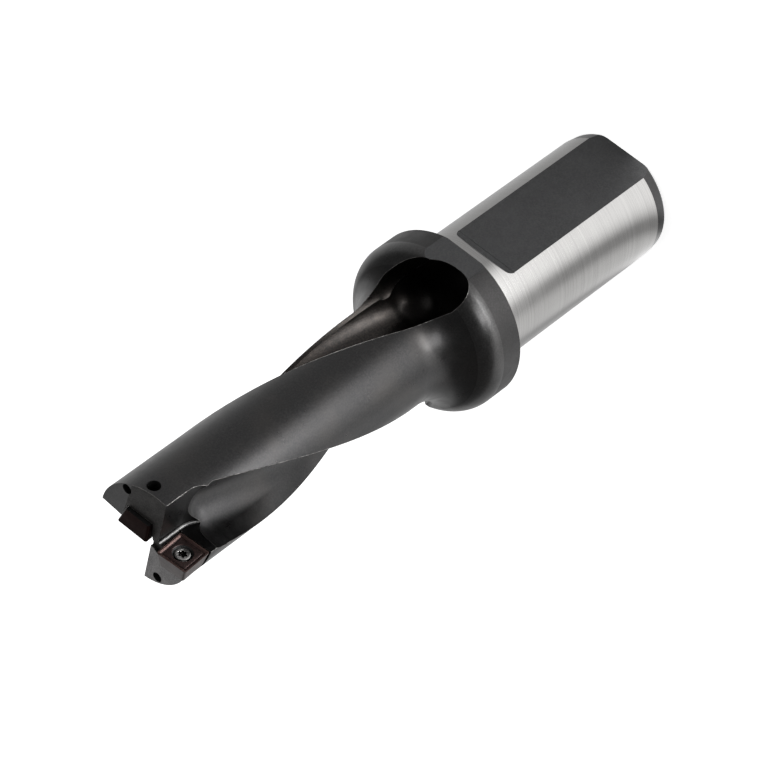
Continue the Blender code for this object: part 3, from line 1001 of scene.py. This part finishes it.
    def tools(self) -> list[Object]:
        """Every cutter, in the order that a shop would use them.

        Returns:
            The cutters.
        """
        over = self.clearance.over
        deep = -SquareInsert.thickness - self.clearance.gap
        corner = SquareInsert.side / 2 + self.clearance.gap
        outer_corner, inner_corner = (corner, -corner), (-corner, -corner)
        mouth = self.bore_radius + self.bore_chamfer + over
        bore = [(mouth, -over), (self.bore_radius, self.bore_chamfer), (self.bore_radius, self.bore_depth)]
        pocket = (deep, over)
        hole = (-self.screw_hole_depth, deep + over)
        mark = (self.shank_flat_mark - self.mark_half, self.shank_flat_mark + self.mark_half)
        flange = (self.shank_length - over, self.fillet_end)
        shank = (-over, self.shank_flat_length)
        return [
            self.flat_tool(self.shank_flat, *shank, self.shank_radius + over, self.shank_flat_corner),
            self.flat_tool(self.shank_flat - self.mark_depth, *mark, self.shank_flat + 2 * self.mark_depth),
            self.flat_tool(self.flange_flat, *flange, self.flange_radius + over),
            *[flute.solid() for flute in self.flutes],
            *[gullet.solid() for gullet in self.gullets],
            *self.relief_tools(),
            self.pocket_tool(OUTER_SEAT, True),
            self.pocket_tool(INNER_SEAT, False),
            self.post_tool(Surface.POCKET, OUTER_SEAT, self.outer_pocket_corner, pocket, outer_corner),
            self.post_tool(Surface.POCKET, INNER_SEAT, self.inner_pocket_corner, pocket, inner_corner),
            self.post_tool(Surface.SCREW_HOLE, OUTER_SEAT, self.screw_hole_radius, hole),
            self.post_tool(Surface.SCREW_HOLE, INNER_SEAT, self.screw_hole_radius, hole),
            ring_solid(Surface.COOLANT.value, revolve(np.array(bore), 64)),
            self.channel_tool(-41.5, 0.0110, -54.0),
            self.channel_tool(138.5, 0.0109, 118.1),
        ]

    def carve(self) -> Object:
        """Cuts every tool out of the blank and keeps which tool made each face.

        Returns:
            The body, with one material slot for each kind of surface.
        """
        marks = {surface.value: bpy.data.materials.new(MARK + surface.value) for surface in Surface}
        blank = ring_solid("steel_body", revolve(self.profile(), 288))
        blank.data.materials.append(marks[Surface.TURNED.value])
        tools = self.tools()
        for tool in tools:
            tool.data.materials.append(marks[tool.name.split(".")[0]])
            step = blank.modifiers.new(tool.name, "BOOLEAN")
            step.operation = "DIFFERENCE"
            step.solver = "EXACT"
            step.material_mode = "TRANSFER"
            step.object = tool
        mesh = bpy.data.meshes.new_from_object(blank.evaluated_get(bpy.context.evaluated_depsgraph_get()))
        mesh.name = "steel_body"
        blank.modifiers.clear()
        blank.data = mesh
        for tool in tools:
            bpy.data.objects.remove(tool, do_unlink=True)
        return blank

    def outside_normals(self, points: Array, flat: Array) -> Array:
        """Normals of the turned surface, smooth round the axis.

        On cylinders and cones the face's own slope is carried round the axis. On the
        flange's front the slope is that of the arc at the point's height.

        Args:
            points: n by three.
            flat: the normals of the faces that the points belong to.

        Returns:
            n by three unit normals.
        """
        radial = points.copy()
        radial[:, 2] = 0.0
        radial /= np.maximum(np.linalg.norm(radial, axis=1, keepdims=True), 1e-9)
        outward = np.maximum(np.einsum("ij,ij->i", flat, radial), 0.0)
        upward = flat[:, 2].copy()
        height = points[:, 2]
        convex = (height > self.dome_start) & (height <= self.dome_end)
        concave = (height > self.dome_end) & (height <= self.fillet_end)
        upward[convex] = (height[convex] - self.dome_start) / self.dome
        upward[concave] = (self.fillet_end - height[concave]) / self.fillet
        curved = convex | concave
        outward[curved] = np.sqrt(np.maximum(1 - upward[curved] ** 2, 0.0))
        straight = (height > self.fillet_end) & (np.abs(flat[:, 2]) < 0.5)
        outward[straight] = 1.0
        upward[straight] = 0.0
        normals = radial * outward[:, None]
        normals[:, 2] = upward
        return normals

    @staticmethod
    def slope_of(distance: Callable[[Array], Array], points: Array) -> Array:
        """The direction in which a distance grows, from differences of 1 micrometre.

        Args:
            distance: gives the distance at each point.
            points: n by three.

        Returns:
            n by three unit vectors.
        """
        step = 1e-6
        shifts = np.eye(3) * step
        rise = [distance(points + shift) - distance(points - shift) for shift in shifts]
        slope = np.stack(rise, axis=1)
        return slope / np.maximum(np.linalg.norm(slope, axis=1, keepdims=True), 1e-12)

    def smooth(self, thing: Object) -> None:
        """Gives each corner the normal of the true surface, from the tool that made its face.

        On a gullet only the wall is curved, and its floor and radius keep their own normals.

        Args:
            thing: the carved body, whose material slots are still the tools' marks.
        """
        mesh = thing.data
        smooth_all(thing, 30.0)
        level_face = 0.985
        wall_face = 0.94
        points = read(mesh.vertices, "co", float, 3)[read(mesh.loops, "vertex_index", np.int32)]
        sizes = read(mesh.polygons, "loop_total", np.int32)
        flat = np.repeat(read(mesh.polygons, "normal", float, 3), sizes, axis=0)
        kind = np.repeat(marks_of(mesh), sizes)
        normals = flat.copy()
        turned = (kind == Surface.TURNED.value) & (np.abs(flat[:, 2]) < level_face)
        normals[turned] = self.outside_normals(points[turned], flat[turned])
        for part in [*self.flutes, *self.gullets]:
            mine = kind == part.surface.value
            slope = self.slope_of(part.distance, points[mine])
            if isinstance(part, Gullet):
                wall = np.abs(np.einsum("ij,ij->i", slope, flat[mine])) > wall_face
                slope = np.where(wall[:, None], slope, flat[mine])
            sign = np.sign(np.einsum("ij,ij->i", slope, flat[mine]))
            normals[mine] = slope * np.where(sign == 0, 1, sign)[:, None]
        for surface in (Surface.COOLANT, Surface.SCREW_HOLE, Surface.POCKET):
            normals[kind == surface.value] = 0.0
        mesh.normals_split_custom_set(normals.tolist())

    def dress(self, thing: Object) -> None:
        """Swaps the marks for finishes: ground shank, bores and gullet floors painted dark as shade,
        painted highlights on the flange's front, the gullets' shoulders and the lower end face, matte end
        faces and flats.

        A gullet's face is a wall or a floor by the share of its level normal that points along
        the gullet's outward direction.

        Args:
            thing: the carved body, whose material slots are still the tools' marks.
        """
        mesh = thing.data
        finishes = (
            BLACK, WARM, DOME_HIGHLIGHT, RIM, UPPER_FACE, LOWER_FACE_LIT, FLAT_STEEL, SHOULDER_HIGHLIGHT, GULLET_FLOOR_SHADE, DARK, GROUND
        )
        floor_share, wall_share = 0.12, 0.985
        centre = read(mesh.polygons, "center", float, 3)
        normal = read(mesh.polygons, "normal", float, 3)
        kind = marks_of(mesh)
        height = centre[:, 2]
        radius = np.hypot(centre[:, 0], centre[:, 1])
        turned = kind == Surface.TURNED.value
        taper_end = self.end_round + self.taper_length
        shank_end = self.shank_length - 1e-5
        bar_radius = self.shank_radius + 0.0005
        shoulder = np.zeros(len(kind), dtype=bool)
        deep = np.zeros(len(kind), dtype=bool)
        for gullet in self.gullets:
            outward, facing = gullet.frame()[1:]
            mine = kind == gullet.surface.value
            wall = np.abs(normal @ outward) / np.hypot(normal @ outward, normal @ facing)
            shoulder |= mine & (wall > floor_share) & (wall < wall_share) & (normal[:, 2] < 0.9)
            # the floors found here take painted shade
            deep |= mine & (wall <= floor_share)
        rules = {
            WARM: np.isin(kind, [Surface.INNER_FIRST.value, Surface.INNER_SECOND.value]),
            DOME_HIGHLIGHT: turned & (height > self.dome_start) & (height < self.dome_end),
            RIM: turned & (height > self.shank_length) & (height < self.dome_start),
            UPPER_FACE: kind == Surface.END_RELIEF.value,
            LOWER_FACE_LIT: (kind == Surface.END_RELIEF.value) & (normal[:, 2] > 0.9985),
            FLAT_STEEL: kind == Surface.FLAT.value,
            SHOULDER_HIGHLIGHT: shoulder,
            GULLET_FLOOR_SHADE: deep,
            # bores and screw holes: painted shade
            DARK: np.isin(kind, [Surface.COOLANT.value, Surface.SCREW_HOLE.value]),
            GROUND: turned & (height > taper_end) & (height < shank_end) & (radius < bar_radius),
        }
        chosen = np.zeros(len(kind), dtype=np.int32)
        for finish, mine in rules.items():
            chosen[mine] = finishes.index(finish)
        finish_faces(thing, finishes, chosen)

    def build(self) -> Object:
        """Makes the body and its worn edges.

        Returns:
            The body's object.
        """
        thing = self.carve()
        edges = WornEdges().build(thing, (self.flange_radius, self.flange_flat, self.tip))
        self.smooth(thing)
        self.dress(thing)
        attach(thing, "root")
        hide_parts("drill_body")
        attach(edges, "root")
        LOG.info("steel body: %d faces", len(thing.data.polygons))
        LOG.info("worn edges: %d faces", len(edges.data.polygons))
        return thing


@dataclass
class WornEdges:
    """Thin rounded beads along the body's outer corners, where the blackening has worn off.

    They lie above the lowest height, where two tools met, on the end faces' crease, and on the
    flange's rear edge, which ends at the rim's top.
    """

    radius: float = 0.00007
    sunk: float = 0.85
    sides: int = 6
    sharpness: float = 32.0
    flat_sharpness: float = 11.0
    lowest: float = 0.0601
    rim_top: float = 0.0612
    shortest: float = 0.000002
    skipped: tuple[Surface, ...] = (Surface.COOLANT, Surface.SCREW_HOLE)

    def corners(self, mesh: bpy.types.Mesh) -> tuple[Array, Array, Array]:
        """Finds the outer corners of a mesh.

        Two faces that share an edge make an outer corner where their normals part by more
        than the sharpness and each face's middle lies behind the other's plane.

        Args:
            mesh: the carved body, whose material slots are still the tools' marks.

        Returns:
            The edges' vertex pairs, each vertex's position, and each vertex's outward
            direction.
        """
        edge = read(mesh.loops, "edge_index", np.int32)
        face = np.repeat(np.arange(len(mesh.polygons)), read(mesh.polygons, "loop_total", np.int32))
        order = np.argsort(edge, kind="stable")
        edge, face = edge[order], face[order]
        pair = edge[:-1] == edge[1:]
        shared, one, two = edge[:-1][pair], face[:-1][pair], face[1:][pair]
        normal = read(mesh.polygons, "normal", float, 3)
        centre = read(mesh.polygons, "center", float, 3)
        kind = marks_of(mesh)
        plain = ~np.isin(kind, [surface.value for surface in self.skipped])
        flat = kind == Surface.FLAT.value
        limit = np.where(flat[one] | flat[two], self.flat_sharpness, self.sharpness)
        cosine = np.einsum("ij,ij->i", normal[one], normal[two])
        behind = np.einsum("ij,ij->i", centre[two] - centre[one], normal[one]) < 0
        keep = (cosine < np.cos(np.radians(limit))) & behind & plain[one] & plain[two]
        height = centre[one][:, 2]
        crease = kind[one] == Surface.END_RELIEF.value
        keep &= (kind[one] != kind[two]) | crease | (height < self.rim_top)
        keep &= height > self.lowest
        ends = read(mesh.edges, "vertices", np.int32, 2)[shared[keep]]
        points = read(mesh.vertices, "co", float, 3)
        outward = np.zeros_like(points)
        both = normal[one][keep] + normal[two][keep]
        np.add.at(outward, ends[:, 0], both)
        np.add.at(outward, ends[:, 1], both)
        long = np.linalg.norm(points[ends[:, 0]] - points[ends[:, 1]], axis=1) > self.shortest
        return ends[long], points, outward

    def build(self, body: Object, bounds: Point) -> Object:
        """Carries a small ring along each outer corner, sunk so that it hardly stands proud.

        A vertex's tangent is the sum of its edges' directions, each turned to agree with the
        first. Its ring is square to that, and an edge joins the rings of its two ends, counted
        backwards where a ring's tangent points against the edge.

        Args:
            body: the carved body.
            bounds: the body's largest radius, its flat's distance and its height.

        Returns:
            The beads as one object.
        """
        ends, points, outward = self.corners(body.data)
        used, local = np.unique(ends, return_inverse=True)
        local = local.reshape(-1, 2)
        place = points[used]
        along = place[local[:, 1]] - place[local[:, 0]]
        along /= np.linalg.norm(along, axis=1, keepdims=True)
        count = np.bincount(local.ravel(), minlength=len(used))
        first = np.full(len(used), -1)
        index = np.arange(len(local))
        first[local[:, 0]] = index
        first[local[:, 1]] = np.maximum(first[local[:, 1]], index)
        guide = along[first]
        tangent = np.zeros_like(place)
        for side in (0, 1):
            agree = np.sign(np.einsum("ij,ij->i", along, guide[local[:, side]]))
            np.add.at(tangent, local[:, side], along * np.where(agree == 0, 1, agree)[:, None])
        tangent /= np.maximum(np.linalg.norm(tangent, axis=1, keepdims=True), 1e-9)
        up = outward[used]
        up -= tangent * np.einsum("ij,ij->i", up, tangent)[:, None]
        up /= np.maximum(np.linalg.norm(up, axis=1, keepdims=True), 1e-9)
        across = np.cross(tangent, up)
        high = np.array([bounds[0], bounds[0], bounds[2]]) - self.radius
        low = np.array([-bounds[0], -bounds[1], 0.0]) + self.radius
        place = np.clip(place - up * self.radius * self.sunk, low, high)
        swing = np.linspace(0, 2 * math.pi, self.sides, endpoint=False)[None, :, None]
        round_place = np.cos(swing) * up[:, None] + np.sin(swing) * across[:, None]
        rings = place[:, None] + self.radius * round_place
        step = np.arange(self.sides)[None, :]
        loops = []
        for side in (0, 1):
            onward = np.einsum("ij,ij->i", tangent[local[:, side]], along) >= 0
            order = np.where(onward[:, None], step, -step % self.sides)
            loops.append(local[:, side : side + 1] * self.sides + order)
        near, far = loops
        quads = np.stack([near, np.roll(near, -1, 1), np.roll(far, -1, 1), far], axis=-1).reshape(-1, 4)
        thing = mesh_object("worn_edges", rings, quads.tolist())
        smooth_all(thing, 60.0)
        thing.data.materials.append(EDGE.make())
        return thing


@dataclass
class SquareInsert:
    """A square insert with rounded corners, clearance all round and a pressed chip groove.

    The row counts say after how many rows of faces, up from the seat, the flank, the cutting
    land and the chip floor end.
    """

    name: str
    seat: Seat
    side: float = 0.00794
    thickness: float = 0.00397
    corner: float = 0.0005
    relief: float = 11.0
    seat_break: float = 0.00006
    edge_break: float = 0.00003
    edge_drop: float = 0.00006
    rim: float = 0.00020
    groove: float = 0.00085
    depth: float = 0.00034
    floor: float = 0.00026
    floor_corner: float = 0.00028
    floor_ramp: float = 0.00012
    floor_rise: float = 0.00002
    mouth: float = 0.00228
    hole: float = 0.00155
    countersink: float = 30.0
    flank: CoatedCarbide = CARBIDE_FLANK
    flank_rows: int = 6
    land_rows: int = 14
    floor_rows: int = 21
    arc_steps: int = 16
    side_steps: int = 14

    def loop(self, half: float, height: float, radius: float) -> Array:
        """A level square with rounded corners: four arcs with evenly spaced points between.

        Args:
            half: half the square's side.
            height: the loop's height over the rake face.
            radius: the corners' radius.

        Returns:
            The loop's points.
        """
        radius = max(radius, 1e-5)
        turn = np.arange(4) * 90.0
        swing = np.linspace(0, 90, self.arc_steps + 1)
        t = np.radians(turn[:, None] + swing[None, :])
        middle = np.radians(turn + 45.0)
        reach = (half - radius) * math.sqrt(2)
        x = reach * np.cos(middle)[:, None] + radius * np.cos(t)
        y = reach * np.sin(middle)[:, None] + radius * np.sin(t)
        ends = np.stack([x[:, -1], y[:, -1]], axis=1)
        starts = np.stack([np.roll(x[:, 0], -1), np.roll(y[:, 0], -1)], axis=1)
        share = np.linspace(0, 1, self.side_steps + 2)[1:-1][None, :, None]
        straight = ends[:, None] * (1 - share) + starts[:, None] * share
        plan = np.concatenate([np.stack([x, y], axis=-1), straight], axis=1).reshape(-1, 2)
        return lift(plan, height)

    def round_loop(self, radius: float, height: float) -> Array:
        """A level circle whose points lie on the same rays as the square's.

        Args:
            radius: the circle's radius.
            height: the loop's height over the rake face.

        Returns:
            The loop's points.
        """
        square = self.loop(self.side / 2, 0.0, self.corner)[:, :2]
        plan = square / np.linalg.norm(square, axis=1, keepdims=True) * radius
        return lift(plan, height)

    def rows(self) -> Array:
        """Loops from the seat, up the flank, over the rim, through the groove and down the hole.

        The groove's depth follows half a cosine from the rim to its bottom, and then a short
        rise to the flat floor round the hole. Its corners get tighter as it goes inwards.

        Returns:
            An array of loops by points by three.
        """
        half = self.side / 2
        slope = math.tan(math.radians(self.relief))
        base, low = self.thickness, self.thickness - self.seat_break
        loops = [
            self.loop(half - slope * base - self.seat_break, -base, self.corner * 0.8),
            self.loop(half - slope * low - self.seat_break, -low, self.corner * 0.8),
        ]
        levels = (0.0030, 0.0020, 0.0010, self.edge_drop)
        loops += [self.loop(half - slope * level, -level, self.corner) for level in levels]
        loops.append(self.loop(half - self.edge_break, 0.0, self.corner))
        loops.append(self.loop(half - self.rim, 0.0, self.corner - self.rim * 0.6))
        for share in np.linspace(0.12, 1.0, 10):
            inset = self.rim + self.groove * share * 0.86
            drop = self.depth * (1 - math.cos(math.pi * share * 0.92)) / 2
            loops.append(self.loop(half - inset, -drop, max(self.corner - inset * 0.6, 0.00025)))
        inset = self.rim + self.groove
        level = -self.floor + self.floor_rise
        loops.append(self.loop(half - inset, -self.floor, self.floor_corner))
        loops.append(self.loop(half - inset - self.floor_ramp, level, self.floor_corner))
        loops.append(self.round_loop(self.mouth + 0.00008, level))
        loops.append(self.round_loop(self.mouth - 0.00002, -self.floor - 0.00006))
        cone = (self.mouth - self.hole) / math.tan(math.radians(self.countersink))
        loops.append(self.round_loop(self.hole, -self.floor - cone))
        loops.append(self.round_loop(self.hole, -self.thickness))
        return np.array(loops)

    def build(self) -> Object:
        """Makes the insert.

        Returns:
            The insert's object.
        """
        thing = ring_solid(self.name, placed(self.rows(), self.seat.matrix()), capped=False)
        smooth_all(thing, 24.0)
        columns = len(self.round_loop(1.0, 0.0))
        row = np.arange(len(thing.data.polygons)) // columns
        ends = [row < self.flank_rows, row < self.land_rows, row < self.floor_rows]
        index = np.select(ends, [1, 0, 2], 3)
        # the countersink and hole rows get the near-black bore colour, painted shade in the hole
        finish_faces(thing, (CARBIDE, self.flank, CARBIDE_FLOOR, DARK), index.astype(np.int32))
        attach(thing, "root")
        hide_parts(self.name.removesuffix("_shape"))
        LOG.info("%s: %d faces", self.name, len(thing.data.polygons))
        return thing


@dataclass
class InsertScrew:
    """A countersunk screw with a six-lobed recess.

    The crown is the head's rounded edge: how far inside the head's radius and how far below its
    top each ring lies.
    """

    name: str
    seat: Seat
    head: float = 0.00174
    neck: float = 0.00122
    drop: float = 0.00043
    length: float = 0.0075
    lobe: float = 0.00108
    lobe_depth: float = 0.00036
    recess: float = 0.0010
    segments: int = 96
    turn: float = 12.0
    countersink: float = 30.0
    head_edge: float = 0.00022
    end_break: float = 0.0002
    crown: tuple[Pair, ...] = (
        (0.00002, 0.00024), (0.0, 0.00018), (0.00005, 0.00009), (0.00022, 0.00001), (0.0004, 0.0)
    )

    def circle(self, radius: float, height: float) -> Array:
        """A level circle."""
        t = np.linspace(0, 2 * math.pi, self.segments, endpoint=False)
        return np.stack([radius * np.cos(t), radius * np.sin(t), np.full(self.segments, height)], axis=1)

    def star(self, shrink: float, height: float) -> Array:
        """The recess's outline: a radius that dips six times round, with narrow dips.

        The dip is half of one less the cosine of six times the angle, to the power 1.3.

        Args:
            shrink: how much smaller the whole outline is.
            height: the loop's height over the rake face.

        Returns:
            The loop's points.
        """
        t = np.linspace(0, 2 * math.pi, self.segments, endpoint=False)
        wave = (0.5 - 0.5 * np.cos(6 * (t - math.radians(self.turn)))) ** 1.3
        radius = self.lobe - self.lobe_depth * wave - shrink
        return np.stack([radius * np.cos(t), radius * np.sin(t), np.full(self.segments, height)], axis=1)

    def build(self) -> Object:
        """Makes the screw.

        Returns:
            The screw's object.
        """
        top = -self.drop
        slope = math.tan(math.radians(self.countersink))
        under = top - self.head_edge - (self.head - self.neck) / slope
        foot = top - self.length
        rings = [
            self.circle(self.neck - self.end_break, foot),
            self.circle(self.neck, foot + self.end_break),
            self.circle(self.neck, under),
            *[self.circle(self.head - inside, top - below) for inside, below in self.crown],
            self.star(-0.00007, top),
            self.star(0.0, top - 0.00007),
            self.star(0.00003, top - self.recess * 0.75),
            self.star(0.00035, top - self.recess),
        ]
        thing = ring_solid(self.name, placed(np.array(rings), self.seat.matrix()))
        smooth_all(thing, 34.0)
        # the recess's deeper walls and its floor get the recess colour, painted shade in the recess
        index = np.zeros(len(thing.data.polygons), dtype=np.int32)
        last = (len(rings) - 1) * self.segments
        index[last - 2 * self.segments : last] = 1
        index[-1] = 1
        finish_faces(thing, (SCREW_STEEL, RECESS_SHADE), index)
        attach(thing, "root")
        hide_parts(self.name.removesuffix("_shape"))
        LOG.info("%s: %d faces", self.name, len(thing.data.polygons))
        return thing


@dataclass(frozen=True)
class Glow:
    """A soft-edged fan of light on the floor, as seen from the drill's axis.

    It is full within the narrow angle each side of its azimuth and nothing outside the wide one,
    and its strength goes from near, at the start distance, to far, at the end distance.
    """

    azimuth: float
    narrow: float
    wide: float
    near: float
    far: float
    start: float = 0.06
    end: float = 0.18


@dataclass
class Studio:
    """A white light table, four soft lamps and the camera at the photograph's viewing angle.

    The table is how bright the floor is to the drill, and seen is how bright the camera sees it. Both are
    lower near the drill than far off: a painted shadow on the floor round its foot.
    """

    floor_size: float = 6.0
    middle: Point = (0.0, 0.0, 0.08)
    camera_place: Point = (-0.274063, -0.561912, 0.539329)
    camera_right: Point = (-0.73892398, -0.1701866, -0.65194161)
    camera_up: Point = (0.57584366, -0.66190104, -0.47988654)
    camera_back: Point = (-0.34985057, -0.73001611, 0.58709543)
    focal_pixels: float = 3518.976
    frame_pixels: float = 768.0
    # near values below far ones: painted shadow on the floor round the drill's foot
    table: Glow = Glow(0.0, 0.0, 180.0, 0.35, 0.62)
    seen: Glow = Glow(0.0, 0.0, 180.0, 0.76, 1.0)
    glows: tuple[Glow, ...] = (
        Glow(-130.0, 2.0, 41.0, 2.0, 0.0),
        Glow(152.0, 3.0, 32.0, 0.75, 0.0),
        Glow(-143.0, 1.0, 42.0, 0.0, 4.3),
        Glow(-143.0, 1.0, 42.0, 0.0, -1.7, 0.165, 0.215),
        Glow(-143.0, 1.0, 42.0, 0.0, -2.1, 0.36, 0.5),
        Glow(168.0, 3.0, 34.0, 0.0, 1.3),
        Glow(-137.0, 1.0, 22.0, 0.0, 30.0, 0.245, 0.29),
        Glow(-137.0, 1.0, 22.0, 0.0, -30.0, 0.36, 0.46),
        Glow(75.0, 20.0, 75.0, -0.10, -0.30),
        Glow(75.0, 20.0, 75.0, 0.0, 0.70, 0.60, 0.90),
    )

    def camera(self) -> None:
        """Sets the camera: it looks down at the drill with its head turned, as the photo does."""
        lens = bpy.data.cameras.new("camera")
        lens.sensor_width = 36.0
        lens.lens = self.focal_pixels * lens.sensor_width / self.frame_pixels
        lens.clip_end = 20.0
        thing = bpy.data.objects.new("camera", lens)
        bpy.context.scene.collection.objects.link(thing)
        place = Matrix((self.camera_right, self.camera_up, self.camera_back)).transposed().to_4x4()
        place.translation = self.camera_place
        thing.matrix_world = place
        bpy.context.scene.camera = thing

    def spread(self, pen: NodePen, glow: Glow, radius: Socket) -> Socket:
        """A glow's strength by distance: a smooth step from its near value to its far one.

        Args:
            pen: the floor's material.
            glow: the glow.
            radius: the distance from the drill's axis.

        Returns:
            The strength's socket.
        """
        node = pen.tree.nodes.new("ShaderNodeMapRange")
        node.interpolation_type = "SMOOTHSTEP"
        node.inputs["From Min"].default_value = glow.start
        node.inputs["From Max"].default_value = glow.end
        node.inputs["To Min"].default_value = glow.near
        node.inputs["To Max"].default_value = glow.far
        pen.link(radius, node.inputs["Value"])
        return node.outputs["Result"]

    def fan(self, pen: NodePen, glow: Glow, radius: Socket) -> Socket:
        """A glow's strength: full within the narrow angle, nothing outside the wide one.

        The cosine of the angle from the glow's middle is the dot product of the level unit
        vector to the point with the glow's own. A smooth step carries it from 0 to 1, and that
        is multiplied by the strength at the point's distance.

        Args:
            pen: the floor's material.
            glow: the fan.
            radius: the distance from the drill's axis.

        Returns:
            The strength's socket.
        """
        level = pen.tree.nodes.new("ShaderNodeVectorMath")
        level.operation = "MULTIPLY"
        level.inputs[1].default_value = (1.0, 1.0, 0.0)
        pen.link(pen.coordinates, level.inputs[0])
        heading = pen.tree.nodes.new("ShaderNodeVectorMath")
        heading.operation = "NORMALIZE"
        pen.link(level.outputs["Vector"], heading.inputs[0])
        cosine = pen.tree.nodes.new("ShaderNodeVectorMath")
        cosine.operation = "DOT_PRODUCT"
        cosine.inputs[1].default_value = tuple(unit(glow.azimuth))
        pen.link(heading.outputs["Vector"], cosine.inputs[0])
        edge = pen.tree.nodes.new("ShaderNodeMapRange")
        edge.interpolation_type = "SMOOTHSTEP"
        edge.inputs["From Min"].default_value = math.cos(math.radians(glow.wide))
        edge.inputs["From Max"].default_value = math.cos(math.radians(glow.narrow))
        pen.link(cosine.outputs["Value"], edge.inputs["Value"])
        strength = self.spread(pen, glow, radius)
        product = pen.tree.nodes.new("ShaderNodeMath")
        product.operation = "MULTIPLY"
        pen.link(edge.outputs["Result"], product.inputs[0])
        pen.link(strength, product.inputs[1])
        return product.outputs[0]

    def floor(self) -> None:
        """A white light table that takes soft shadows, carries a painted shadow round the drill's foot and
        glows in fans beside the drill.
        """
        half = self.floor_size
        plan = np.array([(-half, -half), (half, -half), (half, half), (-half, half)])
        thing = mesh_object("floor", lift(plan, 0.0), [[0, 1, 2, 3]])
        pen = NodePen("floor_white")
        pen.shader.inputs["Base Color"].default_value = (0.85, 0.85, 0.85, 1.0)
        pen.shader.inputs["Roughness"].default_value = 0.9
        pen.shader.inputs["Specular IOR Level"].default_value = 0.0
        pen.shader.inputs["Emission Color"].default_value = (1.0, 1.0, 1.0, 1.0)
        distance = pen.tree.nodes.new("ShaderNodeVectorMath")
        distance.operation = "LENGTH"
        pen.link(pen.coordinates, distance.inputs[0])
        total = self.spread(pen, self.table, distance.outputs["Value"])
        for glow in self.glows:
            add = pen.tree.nodes.new("ShaderNodeMath")
            add.operation = "ADD"
            pen.link(self.fan(pen, glow, distance.outputs["Value"]), add.inputs[0])
            pen.link(total, add.inputs[1])
            total = add.outputs[0]
        path = pen.tree.nodes.new("ShaderNodeLightPath")
        shown = pen.tree.nodes.new("ShaderNodeMix")
        pen.link(path.outputs["Is Camera Ray"], shown.inputs["Factor"])
        pen.link(total, shown.inputs["A"])
        pen.link(self.spread(pen, self.seen, distance.outputs["Value"]), shown.inputs["B"])
        pen.link(shown.outputs["Result"], pen.shader.inputs["Emission Strength"])
        thing.data.materials.append(pen.material)

    def lamp(
        self, name: str, azimuth: float, elevation: float, distance: float, size: Pair, radiance: float
    ) -> None:
        """A rectangular soft lamp that faces the drill's middle.

        Args:
            name: the lamp's name.
            azimuth: its direction from the drill's middle about +Z.
            elevation: its direction above the level of the drill's middle.
            distance: how far away it is.
            size: its width and height.
            radiance: how bright its face is, where 1 is the white of the picture.
        """
        rise = math.radians(elevation)
        toward = Vector((*(unit(azimuth)[:2] * math.cos(rise)), math.sin(rise)))
        light = bpy.data.lights.new(name, "AREA")
        light.shape = "RECTANGLE"
        light.size, light.size_y = size
        light.energy = radiance * math.pi * size[0] * size[1]
        thing = bpy.data.objects.new(name, light)
        bpy.context.scene.collection.objects.link(thing)
        thing.location = Vector(self.middle) + toward * distance
        thing.rotation_euler = toward.to_track_quat("Z", "Y").to_euler()

    def world(self) -> None:
        """A plain soft grey room."""
        world = bpy.data.worlds.new("studio")
        world.use_nodes = True
        bpy.context.scene.world = world
        world.node_tree.nodes["Background"].inputs["Color"].default_value = (0.25, 0.25, 0.25, 1.0)

    def build(self) -> None:
        """Sets the whole studio."""
        self.camera()
        self.floor()
        self.world()
        self.lamp("key", -141.0, 7.0, 0.7, (0.24, 0.24), 11.0)
        self.lamp("rim", 68.0, 19.0, 0.8, (0.45, 0.25), 1.0)
        self.lamp("crown", 58.0, 38.0, 0.8, (0.4, 0.3), 1.0)
        self.lamp("top", -30.0, 62.0, 1.0, (0.6, 0.6), 1.5)
        bpy.context.scene.view_settings.view_transform = "Standard"


def main() -> None:
    """Builds the drill and its studio."""
    logging.basicConfig(level=logging.INFO, format="%(message)s")
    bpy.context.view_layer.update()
    Studio().build()
    SteelBody().build()
    inserts = (
        ("peripheral_insert", OUTER_SEAT, CARBIDE_FLANK),
        ("central_insert", INNER_SEAT, CARBIDE_FLANK_SHADED),
    )
    for name, seat, flank in inserts:
        SquareInsert(name + "_shape", seat, flank=flank).build()
        InsertScrew(name + "_screw_shape", seat).build()


if __name__ == "__main__":
    main()
